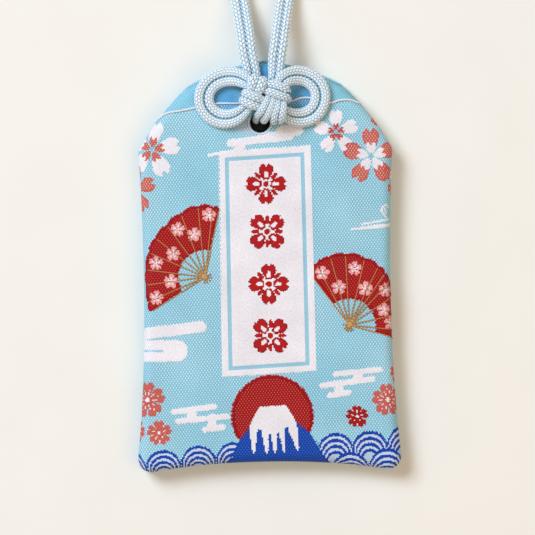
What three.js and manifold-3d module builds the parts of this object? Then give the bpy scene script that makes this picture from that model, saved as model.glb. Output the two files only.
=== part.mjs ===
// An omamori charm: a small flat brocade pouch that holds a wrapped wooden tablet. A doubled braided
// cord closes it. The cord makes a hanging loop, is tied into a two-eared flower knot on the front,
// and goes through a punched hole to a stopper knot inside.
// Units are millimetres. The pouch lies on its back: X to the right, Y to the mouth, Z out of the front.
// Sizes are written from a datum level with the middle of the front; the pieces are then moved down by
// half the back's lip, so that the origin is the middle of the whole pouch, on the surface it lies on.
import * as THREE from 'three';
import { mergeVertices } from 'three/addons/utils/BufferGeometryUtils.js';
import Module from 'manifold-3d';

const wasm = await Module();
wasm.setup();

// Pouch outline
const HALF_FOOT = 25.05;         // half width near the foot
const WAIST_DRAW = 1.55;         // how far each side draws in at the waist
const SHOULDER_DRAW = 0.9;       // and where the shoulders start
const HALF_MOUTH = 14.65;        // half width of the mouth between its corners
const FOOT_Y = -38.8;            // lowest point of the foot corners
const SHOULDER_Y = 22.2;
const MOUTH_CORNER_Y = 34.1;
const MOUTH_Y = 38.8;            // top of the arched mouth, front layer
const FOOT_CORNER = 2.8;         // reach of the foot corners' rounding
const FOOT_ARCH = 1.7;           // how far the foot seam bows up in its middle
const SHOULDER_BULGE = 0.8;      // how far the slanted shoulders swell outwards
const MOUTH_CROWN = [8.2, 1.1];  // where the mouth's arch is drawn to, from its middle and top
const BACK_LIP = 0.6;            // the back layer stands this much above the front at the mouth

// Cloth shells
const CLOTH = 0.6;               // brocade with its fused backing
const EDGE_THICK = 5.6;          // pouch thickness just inside its edge
const CROWN = 0.4;               // extra thickness in the middle of the front
const FRONT_RIM_R = 1.9;         // rounding of the front panel's edge
const BACK_RIM_R = 1.1;          // rounding of the back panel's edge
const SEAM_Z = 2.3;              // height of the side seam
const GAP = 0.3;                 // running gap between neighbouring pieces

// Inner pieces
const LINING = 0.25;             // black interlining
const LINING_INSET = 1.6;        // from the pouch outline
const CARD = 0.4;                // stiffener board
const CARD_W = 38;
const CARD_TOP_Y = 14;
const CARD_FOOT_Y = -34;
const TABLET = [30, 46, 1.0];    // wooden tablet: width, height, thickness
const TABLET_FOOT_Y = -33;
const TABLET_CUT = 4.5;          // cut of the tablet's two top corners
const WRAP_WALL = 0.2;           // paper wrapper of the tablet
const TUCK = 0.9;                // the folded-in corner of cloth is a double layer
const TUCK_DEPTH = 7.5;          // how far it reaches in from the shoulder

// Cord hole
const HOLE_D = 3.8;
const HOLE_X = -0.93;
const HOLE_Y = 27.4;
const LINING_HOLE_D = 3.6;       // the black interlining shows as a thin ring in the hole

// Cord
const CORD_PITCH = 1.7;          // two cords side by side, centre to centre
const CORD_GAP = 0.27;           // what a relaxed cord leaves free in the model
const CORD_D = CORD_PITCH - CORD_GAP;
const CORD_R = CORD_D / 2;
const CORD_SIDES = 8;
const CORD_STEP = 1.6;           // length of a tube step on a free stretch
const KNOT_STEP = 1.15;          // and in the knot, where the bends are tight
const TIGHT_D = 1.25;            // a cord pulled tight in the knot is thinner
const TIGHT_PITCH = 1.55;
const TIGHT_GAP = 0.25;          // aimed at between any two courses of the knot
const LEVEL = 1.52;              // height from one course of the knot to the next
const KNOT_Y = 32.65;            // middle of the knot, above the origin
const KNOT_Z = EDGE_THICK + CROWN / 2 + GAP + TIGHT_D / 2;   // centre of the lowest course
const BEAD = 0.6;                // spacing of the points at which the knot's cords push apart
const SETTLE_ROUNDS = 400;
const REST_Z = 0.87;             // centre of a cord that lies on the surface

// Stopper knot inside
const STOPPER = [2.6, 6.0];      // thickness and length
const STOPPER_WIDE_SHARE = 1.9;  // width as a share of the thickness
const STOPPER_Y = 18.2;

const HALF_WAIST = HALF_FOOT - WAIST_DRAW;
const HALF_SHOULDER = HALF_FOOT - SHOULDER_DRAW;
const OUTLINE_STEPS = 8;          // places on each curve of the outline
const RIM_STEPS = 4;
const DOME_SHARES = [0.78, 0.52, 0.26];

function pouchOutline(lip) {
  const side = (8 * HALF_WAIST - HALF_FOOT - HALF_SHOULDER) / 6;
  const sideLowY = THREE.MathUtils.lerp(FOOT_Y, SHOULDER_Y, 1 / 3);
  const sideHighY = THREE.MathUtils.lerp(FOOT_Y, SHOULDER_Y, 2 / 3);
  const run = new THREE.Vector2(HALF_MOUTH - HALF_SHOULDER, MOUTH_CORNER_Y - SHOULDER_Y);
  const out = new THREE.Vector2(run.y, -run.x).normalize().multiplyScalar(2 * SHOULDER_BULGE);
  const mid = new THREE.Vector2(HALF_SHOULDER, SHOULDER_Y).addScaledVector(run, 1 / 2).add(out);
  const archX = HALF_FOOT / 2;
  const crownX = MOUTH_CROWN[0];
  const crownY = MOUTH_Y + lip - MOUTH_CROWN[1];
  const shape = new THREE.Shape();
  shape.moveTo(0, FOOT_Y + FOOT_ARCH);
  shape.quadraticCurveTo(archX, FOOT_Y + FOOT_ARCH, HALF_FOOT - FOOT_CORNER, FOOT_Y);
  shape.quadraticCurveTo(HALF_FOOT, FOOT_Y, HALF_FOOT, FOOT_Y + FOOT_CORNER);
  shape.bezierCurveTo(side, sideLowY, side, sideHighY, HALF_SHOULDER, SHOULDER_Y);
  shape.quadraticCurveTo(mid.x, mid.y, HALF_MOUTH, MOUTH_CORNER_Y + lip);
  shape.quadraticCurveTo(crownX, crownY, 0, MOUTH_Y + lip);
  shape.quadraticCurveTo(-crownX, crownY, -HALF_MOUTH, MOUTH_CORNER_Y + lip);
  shape.quadraticCurveTo(-mid.x, mid.y, -HALF_SHOULDER, SHOULDER_Y);
  shape.bezierCurveTo(-side, sideHighY, -side, sideLowY, -HALF_FOOT, FOOT_Y + FOOT_CORNER);
  shape.quadraticCurveTo(-HALF_FOOT, FOOT_Y, -HALF_FOOT + FOOT_CORNER, FOOT_Y);
  shape.quadraticCurveTo(-archX, FOOT_Y + FOOT_ARCH, 0, FOOT_Y + FOOT_ARCH);
  return shape;
}

// Places round the outline, each with its inward direction
function outlineColumns(lip, steps) {
  const points = pouchOutline(lip).getPoints(steps).slice(1);
  const count = points.length;
  return points.map((point, i) => {
    const ahead = points[(i + 1) % count].clone().sub(point).normalize();
    const behind = points[(i + count - 1) % count].clone().sub(point).normalize();
    const along = ahead.sub(behind).normalize();
    return { point, inward: new THREE.Vector2(-along.y, along.x) };
  });
}

// A revolved profile pressed out to the pouch outline. Each profile point has an inset from the
// outline, a share of the way out from the middle, and a height.
function pressedShell(profile, lip) {
  const columns = outlineColumns(lip, OUTLINE_STEPS);
  const geometry = new THREE.LatheGeometry(
    profile.map((p) => new THREE.Vector2(p.share, p.z)), columns.length);
  const position = geometry.attributes.position;
  for (let i = 0; i < position.count; i += 1) {
    const column = columns[Math.floor(i / profile.length) % columns.length];
    const { inset, share, z } = profile[i % profile.length];
    const place = column.point.clone().addScaledVector(column.inward, inset).multiplyScalar(share);
    position.setXYZ(i, place.x, place.y, z);
  }
  return solidGeometry(geometry);
}

// Merged on position alone, with the flat leftovers at the poles dropped
function solidGeometry(geometry) {
  const bare = geometry.clone();
  bare.deleteAttribute('normal');
  bare.deleteAttribute('uv');
  const merged = mergeVertices(bare);
  const index = merged.index.array;
  const kept = [];
  for (let i = 0; i < index.length; i += 3) {
    const [a, b, c] = index.slice(i, i + 3);
    if (a !== b && b !== c && c !== a) kept.push(a, b, c);
  }
  merged.setIndex(kept);
  return merged;
}

function toManifold(geometry) {
  const merged = solidGeometry(geometry);
  return new wasm.Manifold(new wasm.Mesh({
    numProp: 3,
    vertProperties: new Float32Array(merged.attributes.position.array),
    triVerts: new Uint32Array(merged.index.array),
  }));
}

function fromManifold(solid) {
  const mesh = solid.getMesh();
  const geometry = new THREE.BufferGeometry();
  geometry.setAttribute('position', new THREE.BufferAttribute(mesh.vertProperties, 3));
  geometry.setIndex(new THREE.BufferAttribute(mesh.triVerts, 1));
  return geometry;
}

function withHole(geometry, diameter) {
  const drill = new THREE.CylinderGeometry(diameter / 2, diameter / 2, 2 * EDGE_THICK, 24);
  drill.rotateX(Math.PI / 2);
  drill.translate(HOLE_X, HOLE_Y, EDGE_THICK);
  return fromManifold(toManifold(geometry).subtract(toManifold(drill)));
}

// Rounded edge of a cloth shell: quarter circle from the wall over to the face
function rim(radius, faceZ, wallInset, up) {
  const points = [];
  for (let i = 0; i <= RIM_STEPS; i += 1) {
    const angle = (Math.PI / 2) * (i / RIM_STEPS);
    points.push({
      inset: wallInset + radius * (1 - Math.cos(angle)),
      share: 1,
      z: faceZ + up * radius * (Math.sin(angle) - 1),
    });
  }
  return points;
}

function dome(inset, edgeZ, crown) {
  const points = DOME_SHARES.map((share) => ({ inset, share, z: edgeZ + crown * (1 - share * share) }));
  points.push({ inset, share: 0, z: edgeZ + crown });
  return points;
}

function frontPanel() {
  const foot = SEAM_Z + GAP / 2;
  const outer = [{ inset: 0, share: 1, z: foot }, ...rim(FRONT_RIM_R, EDGE_THICK, 0, 1),
    ...dome(FRONT_RIM_R, EDGE_THICK, CROWN)];
  const inner = [{ inset: CLOTH, share: 1, z: foot },
    ...rim(FRONT_RIM_R - CLOTH, EDGE_THICK - CLOTH, CLOTH, 1),
    ...dome(FRONT_RIM_R, EDGE_THICK - CLOTH, CROWN)];
  return withHole(pressedShell([...inner.reverse(), ...outer], 0), HOLE_D);
}

function backPanel() {
  const top = SEAM_Z - GAP / 2;
  const outer = [...rim(BACK_RIM_R, 0, 0, -1).reverse(), { inset: 0, share: 1, z: top }];
  const inner = [{ inset: CLOTH, share: 1, z: top },
    ...rim(BACK_RIM_R - CLOTH, CLOTH, CLOTH, -1)];
  const start = { inset: BACK_RIM_R, share: 0, z: 0 };
  const end = { inset: BACK_RIM_R, share: 0, z: CLOTH };
  return pressedShell([start, ...outer, ...inner, end], BACK_LIP);
}

// A flat layer cut to the pouch outline, inset all round
function flatLayer(inset, thickness, z) {
  const points = outlineColumns(0, OUTLINE_STEPS / 2).map(({ point, inward }) => (
    point.clone().addScaledVector(inward, inset)));
  const geometry = new THREE.ExtrudeGeometry(new THREE.Shape(points),
    { depth: thickness, bevelEnabled: false });
  return geometry.translate(0, 0, z);
}

const BACK_LINING_Z = CLOTH + GAP;
const FRONT_LINING_Z = EDGE_THICK - CLOTH - GAP - LINING;
const CARD_Z = BACK_LINING_Z + LINING + GAP;
const WRAP_Z = CARD_Z + CARD + GAP;

function stiffenerCard() {
  const height = CARD_TOP_Y - CARD_FOOT_Y;
  const card = new THREE.BoxGeometry(CARD_W, height, CARD);
  return card.translate(0, CARD_FOOT_Y + height / 2, CARD_Z + CARD / 2);
}

function tabletShape(grow) {
  const [width, height] = TABLET;
  const half = width / 2 + grow;
  const shape = new THREE.Shape();
  shape.moveTo(-half, TABLET_FOOT_Y - grow);
  shape.lineTo(half, TABLET_FOOT_Y - grow);
  shape.lineTo(half, TABLET_FOOT_Y + height - TABLET_CUT);
  shape.lineTo(half - TABLET_CUT, TABLET_FOOT_Y + height);
  shape.lineTo(TABLET_CUT - half, TABLET_FOOT_Y + height);
  shape.lineTo(-half, TABLET_FOOT_Y + height - TABLET_CUT);
  shape.closePath();
  return shape;
}

function tablet() {
  const geometry = new THREE.ExtrudeGeometry(tabletShape(0), { depth: TABLET[2], bevelEnabled: false });
  return geometry.translate(0, 0, WRAP_Z + WRAP_WALL + GAP);
}

// Paper folded round the tablet, open at the top like a sleeve
function tabletWrap() {
  const [width, height, thickness] = TABLET;
  const inside = new THREE.BoxGeometry(width + 2 * GAP, height + 2 * GAP, thickness + 2 * GAP);
  inside.translate(0, height / 2 + WRAP_WALL, 0);
  const outside = new THREE.BoxGeometry(width + 2 * (GAP + WRAP_WALL), height - TABLET_CUT,
    thickness + 2 * (GAP + WRAP_WALL));
  outside.translate(0, (height - TABLET_CUT) / 2 - GAP, 0);
  const sleeve = fromManifold(toManifold(outside).subtract(toManifold(inside)));
  return sleeve.translate(0, TABLET_FOOT_Y - WRAP_WALL, WRAP_Z + WRAP_WALL + GAP + thickness / 2);
}

// The corner of the cloth that is folded in behind each slanted shoulder
function cornerTuck(side) {
  const inset = LINING_INSET;
  const shape = new THREE.Shape();
  const low = new THREE.Vector2(HALF_SHOULDER - inset, SHOULDER_Y);
  const high = new THREE.Vector2(HALF_MOUTH, MOUTH_CORNER_Y - inset - inset / 2);
  const middle = low.clone().add(high).multiplyScalar(1 / 2);
  const inner = middle.clone().addScaledVector(
    new THREE.Vector2(low.y - high.y, high.x - low.x).normalize(), TUCK_DEPTH);
  const points = side > 0 ? [low, high, inner] : [high, low, inner];
  points.forEach((p, i) => (i ? shape.lineTo(side * p.x, p.y) : shape.moveTo(side * p.x, p.y)));
  shape.closePath();
  const geometry = new THREE.ExtrudeGeometry(shape, { depth: TUCK, bevelEnabled: false });
  return geometry.translate(0, 0, CARD_Z);
}

// The middle line of the doubled cord, chosen by hand. In the knot x and y are from the knot's
// middle, and the third number counts levels from the lowest course.
const LEAD_ROUTE = [
  [2.3, 5.25, 0], [2.4, 4.3, 0.1], [2.4, 3.3, 0.8], [2.3, 2.3, 1.6], [2.0, 1.1, 2.0],
  [1.5, -0.1, 2.1], [1.0, -1.2, 2.6], [0.5, -2.2, 3.0], [0.0, -3.1, 3.0],
  [-0.45, -4.0, 2.7], [-0.75, -4.75, 1.9], [-0.88, -5.15, 1.0], [-0.88, -5.2, 0.15],
];
const COURSE_ROUTE = [
  [-2.75, 5.25, 0], [-2.65, 4.2, 0], [-2.2, 2.8, 0], [-1.3, 1.2, 0], [-0.2, -0.4, 0],
  [1.0, -2.0, 0], [2.0, -3.6, 0], [2.6, -5.2, 0.05], [2.8, -6.1, 0.6], [2.8, -6.4, 1.5],
  [2.8, -6.1, 2.5], [2.9, -5.2, 3.0], [3.15, -4.1, 3.0], [3.5, -3.0, 2.8], [3.8, -2.1, 2.3],
  [4.1, -1.3, 2.0], [4.5, -0.4, 2.0], [4.9, 0.6, 1.9], [5.3, 1.8, 1.6], [5.8, 2.8, 1.2],
  [6.8, 3.7, 0.5], [8.1, 3.95, 0.15], [9.6, 3.3, 0], [10.7, 1.9, 0], [11.1, 0, 0],
  [10.8, -2.0, 0], [9.8, -3.6, 0], [8.3, -4.6, 0.1], [6.8, -4.9, 0.6], [5.5, -4.75, 1.3],
  [4.4, -4.3, 1.8], [3.0, -3.65, 2.0], [1.7, -3.0, 2.0], [0.4, -2.4, 2.0], [-0.9, -1.8, 2.3],
  [-1.8, -1.35, 2.85], [-2.7, -0.9, 3.0], [-3.9, -0.3, 3.0], [-4.8, 0.0, 2.7], [-5.2, 0.1, 2.0],
  [-4.8, 0.0, 1.3], [-3.6, -0.35, 1.0], [-2.0, -0.6, 1.0], [-0.3, -0.75, 1.0], [1.3, -0.9, 1.0],
  [2.9, -1.0, 1.0], [4.6, -1.2, 1.0], [6.0, -1.4, 1.1], [6.9, -1.5, 2.0], [6.2, -1.2, 2.8],
  [5.2, -0.75, 3.0], [3.4, 0.1, 3.0], [1.9, 0.9, 3.0], [1.0, 1.3, 2.7], [0.3, 1.6, 2.2],
  [-0.4, 1.95, 2.0], [-1.2, 2.3, 2.0], [-2.1, 2.7, 2.0], [-3.2, 3.2, 1.7], [-4.5, 3.75, 1.0],
  [-5.9, 4.05, 0.4], [-7.4, 4.1, 0.1], [-9.2, 3.5, 0], [-10.7, 2.2, 0], [-11.6, 0.4, 0],
  [-11.6, -1.6, 0], [-10.7, -3.3, 0], [-9.2, -4.4, 0.05], [-7.5, -4.75, 0.25],
  [-6.0, -4.5, 0.7], [-4.8, -3.9, 1.3], [-3.8, -3.1, 1.8], [-3.0, -2.0, 2.0], [-2.4, -0.8, 2.0],
  [-1.9, 0.4, 2.2], [-1.5, 1.4, 2.8], [-1.1, 2.4, 3.0], [-0.7, 3.4, 3.0], [-0.4, 4.4, 2.7],
  [-0.3, 4.8, 2.0], [-0.4, 4.4, 1.3], [-0.6, 3.5, 1.0], [-0.9, 2.6, 1.0], [-1.2, 1.6, 1.0],
];
const HANG_ROUTE = [
  [2.3, 38.35, KNOT_Z], [2.45, 39.6, KNOT_Z], [2.85, 42, 6.45], [3.2, 44.6, 5.4], [3.6, 47.2, 3.9],
  [4.1, 50.4, 2.35], [4.7, 54.2, 1.3], [5.5, 59, 0.92], [6.7, 66.5, REST_Z], [8, 75, REST_Z],
  [9.1, 84, REST_Z], [9.5, 91.5, REST_Z], [8.6, 98.5, REST_Z], [5.5, 104, REST_Z],
  [0.2, 106, REST_Z], [-5.1, 104, REST_Z], [-8.2, 98.5, REST_Z], [-9.1, 91.5, REST_Z],
  [-8.8, 84, REST_Z], [-7.9, 75, REST_Z], [-6.8, 66.5, REST_Z], [-5.8, 59, 0.92],
  [-5.0, 54.2, 1.3], [-4.35, 50.4, 2.35], [-3.9, 47.2, 3.9], [-3.5, 44.6, 5.4],
  [-3.2, 42, 6.45], [-2.9, 39.6, KNOT_Z], [-2.75, 38.35, KNOT_Z],
];

function knotCurve(route) {
  return smoothCurve(route.map(([x, y, level]) => (
    new THREE.Vector3(x, KNOT_Y + y, KNOT_Z + LEVEL * level))));
}

function plainCurve(route) {
  return smoothCurve(route.map((place) => new THREE.Vector3(...place)));
}

// One cord of the doubled pair. The pair lies like a flat ribbon: where it runs along the pouch its
// two cords are side by side, and where it folds over an edge the sideways direction is carried on.
function pairCord(middle, sideways, step) {
  const count = Math.round(middle.getLength() / step);
  const up = new THREE.Vector3(0, 0, 1);
  const direction = new THREE.Vector3(-1, 0, 0);
  const points = [];
  for (let i = 0; i <= count; i += 1) {
    const tangent = middle.getTangentAt(i / count);
    const flat = new THREE.Vector3().crossVectors(up, tangent);
    if (flat.length() > 1 / 2) {
      direction.copy(flat.normalize().multiplyScalar(flat.dot(direction) < 0 ? -1 : 1));
    }
    direction.addScaledVector(tangent, -tangent.dot(direction)).normalize();
    points.push(middle.getPointAt(i / count).addScaledVector(direction, sideways));
  }
  return smoothCurve(points);
}

// The knot is drawn up: wherever two courses come too close they push each other apart, while each
// cord keeps itself smooth, stays above the pouch and holds to the place that its route gives it.
function drawnUp(curves) {
  const cords = curves.map((curve) => curve.getSpacedPoints(Math.round(curve.getLength() / BEAD)));
  const routes = cords.map((cord) => cord.map((p) => p.clone()));
  const beads = cords.flatMap((cord, owner) => cord.map((place, i) => (
    { owner, i, place, held: i === 0 || i === cord.length - 1 })));
  const wanted = TIGHT_D + TIGHT_GAP;
  const sameBend = Math.ceil((2.6 * TIGHT_D) / BEAD);
  const pushShare = 0.35;
  const smoothShare = 0.1;
  const holdShare = 0.04;
  const apart = new THREE.Vector3();
  for (let round = 0; round < SETTLE_ROUNDS; round += 1) {
    for (let m = 0; m < beads.length; m += 1) {
      for (let n = m + 1; n < beads.length; n += 1) {
        const [one, two] = [beads[m], beads[n]];
        const neighbours = one.owner === two.owner && n - m < sameBend;
        if (neighbours || Math.abs(one.place.x - two.place.x) > wanted) continue;
        apart.subVectors(two.place, one.place);
        const distance = apart.length();
        if (distance >= wanted) continue;
        apart.multiplyScalar((pushShare / 2) * ((wanted - distance) / distance));
        if (!one.held) one.place.sub(apart);
        if (!two.held) two.place.add(apart);
      }
    }
    cords.forEach((cord, owner) => cord.forEach((place, i) => {
      if (i === 0 || i === cord.length - 1) return;
      const middle = cord[i - 1].clone().add(cord[i + 1]).multiplyScalar(1 / 2);
      place.lerp(middle, smoothShare).lerp(routes[owner][i], holdShare);
      place.z = Math.max(place.z, KNOT_Z);
    }));
  }
  return cords.map(smoothCurve);
}

function smoothCurve(points) {
  return new THREE.CatmullRomCurve3(points, false, 'centripetal');
}

function cordTube(curve, diameter, step) {
  const section = new THREE.Shape();
  for (let i = 0; i < CORD_SIDES; i += 1) {
    const angle = (2 * Math.PI * i) / CORD_SIDES;
    const corner = new THREE.Vector2(Math.cos(angle), Math.sin(angle)).multiplyScalar(diameter / 2);
    if (i) section.lineTo(corner.x, corner.y);
    else section.moveTo(corner.x, corner.y);
  }
  section.closePath();
  const steps = Math.round(curve.getLength() / step);
  return new THREE.ExtrudeGeometry(section, { steps, extrudePath: curve, bevelEnabled: false });
}

// The strands that pass the hole and turn down inside to the stopper knot
function tailCurve(side) {
  const x = HOLE_X + side * (TIGHT_PITCH / 2);
  const [, , leadEnd] = LEAD_ROUTE.at(-1);
  const topZ = KNOT_Z + LEVEL * leadEnd - GAP;
  const lowZ = CARD_Z + STOPPER[0] / 2;
  const bend = TIGHT_D * 1.2;
  return plainCurve([
    [x, HOLE_Y, topZ], [x, HOLE_Y, lowZ + bend], [x, HOLE_Y - bend / 3, lowZ + bend / 3],
    [x, HOLE_Y - bend, lowZ], [x, STOPPER_Y + STOPPER[1] / 2 + GAP, lowZ],
  ]);
}

function stopperKnot() {
  const [thick, length] = STOPPER;
  const waistShare = 0.8;
  const shoulderShare = 0.97;
  const profile = [[0, -1 / 2], [0.62, -0.44], [shoulderShare, -0.24], [waistShare, 0],
    [shoulderShare, 0.24], [0.62, 0.44], [0, 1 / 2]].map(([radiusShare, lengthShare]) => (
    new THREE.Vector2(radiusShare * (thick / 2), lengthShare * length)));
  const geometry = new THREE.LatheGeometry(profile, 16);
  geometry.scale(STOPPER_WIDE_SHARE, 1, 1);
  return geometry.translate(HOLE_X, STOPPER_Y, CARD_Z + thick / 2);
}

// Least free space between any two courses of the knot, leaving out a course's own bend
function printLeastGap(curves) {
  const spacing = BEAD / 2;
  const sameBend = Math.ceil((2.6 * TIGHT_D) / spacing);
  const cords = curves.map((curve) => curve.getSpacedPoints(Math.round(curve.getLength() / spacing)));
  let least = Infinity;
  cords.forEach((one, a) => cords.slice(a).forEach((two, b) => one.forEach((place, i) => {
    for (let j = b === 0 ? i + sameBend : 0; j < two.length; j += 1) {
      least = Math.min(least, place.distanceTo(two[j]) - TIGHT_D);
    }
  })));
  console.log(`least gap between the knot's courses: ${least.toFixed(2)} mm`);
}

const FINISH = {
  brocade: { color: 0x8fcfe6, roughness: 0.75 },
  lining: { color: 0x23272d, roughness: 0.9 },
  board: { color: 0xc9b18a, roughness: 0.85 },
  wood: { color: 0xd9b98a, roughness: 0.6 },
  paper: { color: 0xf7f3ea, roughness: 0.8 },
  cord: { color: 0xcfe9f7, roughness: 0.5 },
};

const charm = new THREE.Group();

function piece(name, geometry, finish) {
  const mesh = new THREE.Mesh(geometry, new THREE.MeshStandardMaterial({ ...FINISH[finish], metalness: 0 }));
  mesh.name = name;
  mesh.position.y = -BACK_LIP / 2;
  charm.add(mesh);
}

const KNOT_CORDS = ['knot_lead_right', 'knot_lead_left', 'knot_course_first', 'knot_course_second'];
const knotPairs = [knotCurve(LEAD_ROUTE), knotCurve(COURSE_ROUTE)].flatMap((middle) => (
  [-1, 1].map((side) => pairCord(middle, side * (TIGHT_PITCH / 2), BEAD))));
const knotCords = drawnUp(knotPairs);
printLeastGap(knotCords);
const hang = plainCurve(HANG_ROUTE);

piece('front_panel', frontPanel(), 'brocade');
piece('back_panel', backPanel(), 'brocade');
piece('corner_tuck_left', cornerTuck(-1), 'brocade');
piece('corner_tuck_right', cornerTuck(1), 'brocade');
piece('interlining_front', withHole(flatLayer(LINING_INSET, LINING, FRONT_LINING_Z), LINING_HOLE_D), 'lining');
piece('interlining_back', flatLayer(LINING_INSET, LINING, BACK_LINING_Z), 'lining');
piece('stiffener_card', stiffenerCard(), 'board');
piece('tablet', tablet(), 'wood');
piece('tablet_wrap', tabletWrap(), 'paper');
piece('stopper_knot', stopperKnot(), 'cord');
piece('tail_left', cordTube(tailCurve(-1), TIGHT_D, KNOT_STEP), 'cord');
piece('tail_right', cordTube(tailCurve(1), TIGHT_D, KNOT_STEP), 'cord');
knotCords.forEach((curve, i) => piece(KNOT_CORDS[i], cordTube(curve, TIGHT_D, KNOT_STEP), 'cord'));
[['hang_loop_outer', -1], ['hang_loop_inner', 1]].forEach(([name, side]) => {
  const curve = pairCord(hang, side * (CORD_PITCH / 2), CORD_STEP);
  piece(name, cordTube(curve, CORD_D, 2 * CORD_STEP), 'cord');
});

export default charm;
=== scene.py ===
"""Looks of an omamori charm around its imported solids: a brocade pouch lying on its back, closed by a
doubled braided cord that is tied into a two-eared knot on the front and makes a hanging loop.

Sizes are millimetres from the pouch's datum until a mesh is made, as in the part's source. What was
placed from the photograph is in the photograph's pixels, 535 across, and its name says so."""
import math

import bmesh
import bpy
import numpy as np
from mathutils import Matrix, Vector


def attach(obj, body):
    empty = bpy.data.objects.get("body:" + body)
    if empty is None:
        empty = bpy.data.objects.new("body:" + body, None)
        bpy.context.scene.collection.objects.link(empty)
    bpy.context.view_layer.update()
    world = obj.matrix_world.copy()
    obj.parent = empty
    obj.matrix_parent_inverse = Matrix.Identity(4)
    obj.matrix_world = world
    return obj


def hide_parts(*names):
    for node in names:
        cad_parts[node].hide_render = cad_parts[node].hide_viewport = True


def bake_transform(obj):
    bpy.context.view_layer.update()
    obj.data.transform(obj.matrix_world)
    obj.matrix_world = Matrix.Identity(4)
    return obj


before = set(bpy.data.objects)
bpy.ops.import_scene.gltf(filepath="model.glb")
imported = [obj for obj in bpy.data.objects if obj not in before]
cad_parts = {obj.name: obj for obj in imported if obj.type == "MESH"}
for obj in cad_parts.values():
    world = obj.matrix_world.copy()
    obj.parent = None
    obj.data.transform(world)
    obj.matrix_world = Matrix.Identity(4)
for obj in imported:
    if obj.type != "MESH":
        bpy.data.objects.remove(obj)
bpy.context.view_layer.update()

MM = 0.001
UP = np.array([0.0, 0.0, 1.0])

# The photograph
PHOTO_PX = 535
PIXEL = 0.19  # mm across a pixel on the front of the pouch
DATUM_PX = (267.0, 266.8)  # where the pouch's datum point is seen
LEAN = math.radians(0.84)  # the pouch leans this far to the left
CAMERA_Z = 700.0
SENSOR = 36.0

# The pouch, as in the part's source
HALF_FOOT = 25.05
HALF_WAIST = HALF_FOOT - 1.55
HALF_SHOULDER = HALF_FOOT - 0.9
HALF_MOUTH = 14.65
FOOT_Y = -38.8
SHOULDER_Y = 22.2
MOUTH_CORNER_Y = 34.1
MOUTH_Y = 38.8
FOOT_CORNER = 2.8
FOOT_ARCH = 1.7
SHOULDER_BULGE = 0.8
MOUTH_CROWN = (8.2, 1.1)
BACK_LIP = 0.6
CLOTH = 0.6
EDGE_THICK = 5.6
FRONT_RIM_R = 1.9
BACK_RIM_R = 1.1
SEAM_Z = 2.3
HOLE = np.array([-0.93, 27.4])
HOLE_R = 1.9
DATUM = np.array([0.0, -BACK_LIP / 2, 0.0])  # the datum's place in the frame


def metres(points):
    """Places in the frame, in metres, of millimetres from the datum."""
    return (np.asarray(points, float) + DATUM) * MM


def on_pouch(pixels):
    """Millimetres on the pouch of places in the photograph."""
    pixels = np.asarray(pixels, float)
    right = (pixels[..., 0] - DATUM_PX[0]) * PIXEL
    up = (DATUM_PX[1] - pixels[..., 1]) * PIXEL
    return np.stack([right * math.cos(LEAN) + up * math.sin(LEAN),
                     up * math.cos(LEAN) - right * math.sin(LEAN)], -1)


def in_photo(places):
    """Pixels of the photograph at which places on the pouch are seen."""
    x, y = np.asarray(places, float).T
    right = x * math.cos(LEAN) - y * math.sin(LEAN)
    up = x * math.sin(LEAN) + y * math.cos(LEAN)
    return DATUM_PX[0] + right / PIXEL, DATUM_PX[1] - up / PIXEL


def in_scene(name, data):
    made = bpy.data.objects.new(name, data)
    bpy.context.scene.collection.objects.link(made)
    return made


def add_camera():
    data = bpy.data.cameras.new("camera")
    data.sensor_width = SENSOR
    data.lens = SENSOR * CAMERA_Z / (PHOTO_PX * PIXEL)
    camera = in_scene("camera", data)
    x, y = on_pouch((PHOTO_PX / 2, PHOTO_PX / 2))
    camera.location = metres((x, y, EDGE_THICK + CAMERA_Z))
    camera.rotation_euler = (0, 0, -LEAN)
    bpy.context.scene.camera = camera


# Materials ------------------------------------------------------------------------------------

def srgb(code):
    """Linear colour of an sRGB hex value."""
    parts = [int(code[i:i + 2], 16) / 255 for i in (0, 2, 4)]
    return (*[p / 12.92 if p <= 0.04045 else ((p + 0.055) / 1.055) ** 2.4 for p in parts], 1)


def node(tree, kind, inputs=None, **settings):
    """Adds a node with its settings and links. An input is a value, an output, or a node, which stands
    for its first output."""
    made = tree.nodes.new("ShaderNode" + kind)
    for name, value in settings.items():
        setattr(made, name, value)
    for socket, value in (inputs or {}).items():
        if isinstance(value, bpy.types.Node):
            value = value.outputs[0]
        if isinstance(value, bpy.types.NodeSocket):
            tree.links.new(value, made.inputs[socket])
        else:
            made.inputs[socket].default_value = value
    return made


def material(name, **values):
    """A material and its tree, with the shader's own sockets set."""
    made = bpy.data.materials.new(name)
    made.use_nodes = True
    shader = made.node_tree.nodes["Principled BSDF"]
    for socket, value in values.items():
        shader.inputs[socket.replace("_", " ")].default_value = value
    return made, made.node_tree, shader


# Dots of the brocade's binding weft: rows a set distance apart, every other row moved by half a step
DOT_STEP = 0.57
DOT_ROW = 0.42
DOT_LENGTHEN = 0.42  # power that draws a dot out along one slant of the lattice
DOT_GROW = 0.65  # how much larger a dot gets with its strength
DOT_SHOWS = (0.87, 1.35)  # level at which a dot begins to show, and shows in full
DOT_RELIEF = 0.6  # its height over that of the twill
SLUB = 0.45  # mm: uneven thickness of the yarn
DRAPE_SHADING = 6.25  # mm: broad patches of painted light and shade, where the cloth would turn a little to the light
FIBRE = 0.385  # mm: bundles of the braid's filaments, drawn coarser than real to show
FIBRE_SHARE = 0.22  # how far they lighten and darken the braid


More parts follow.
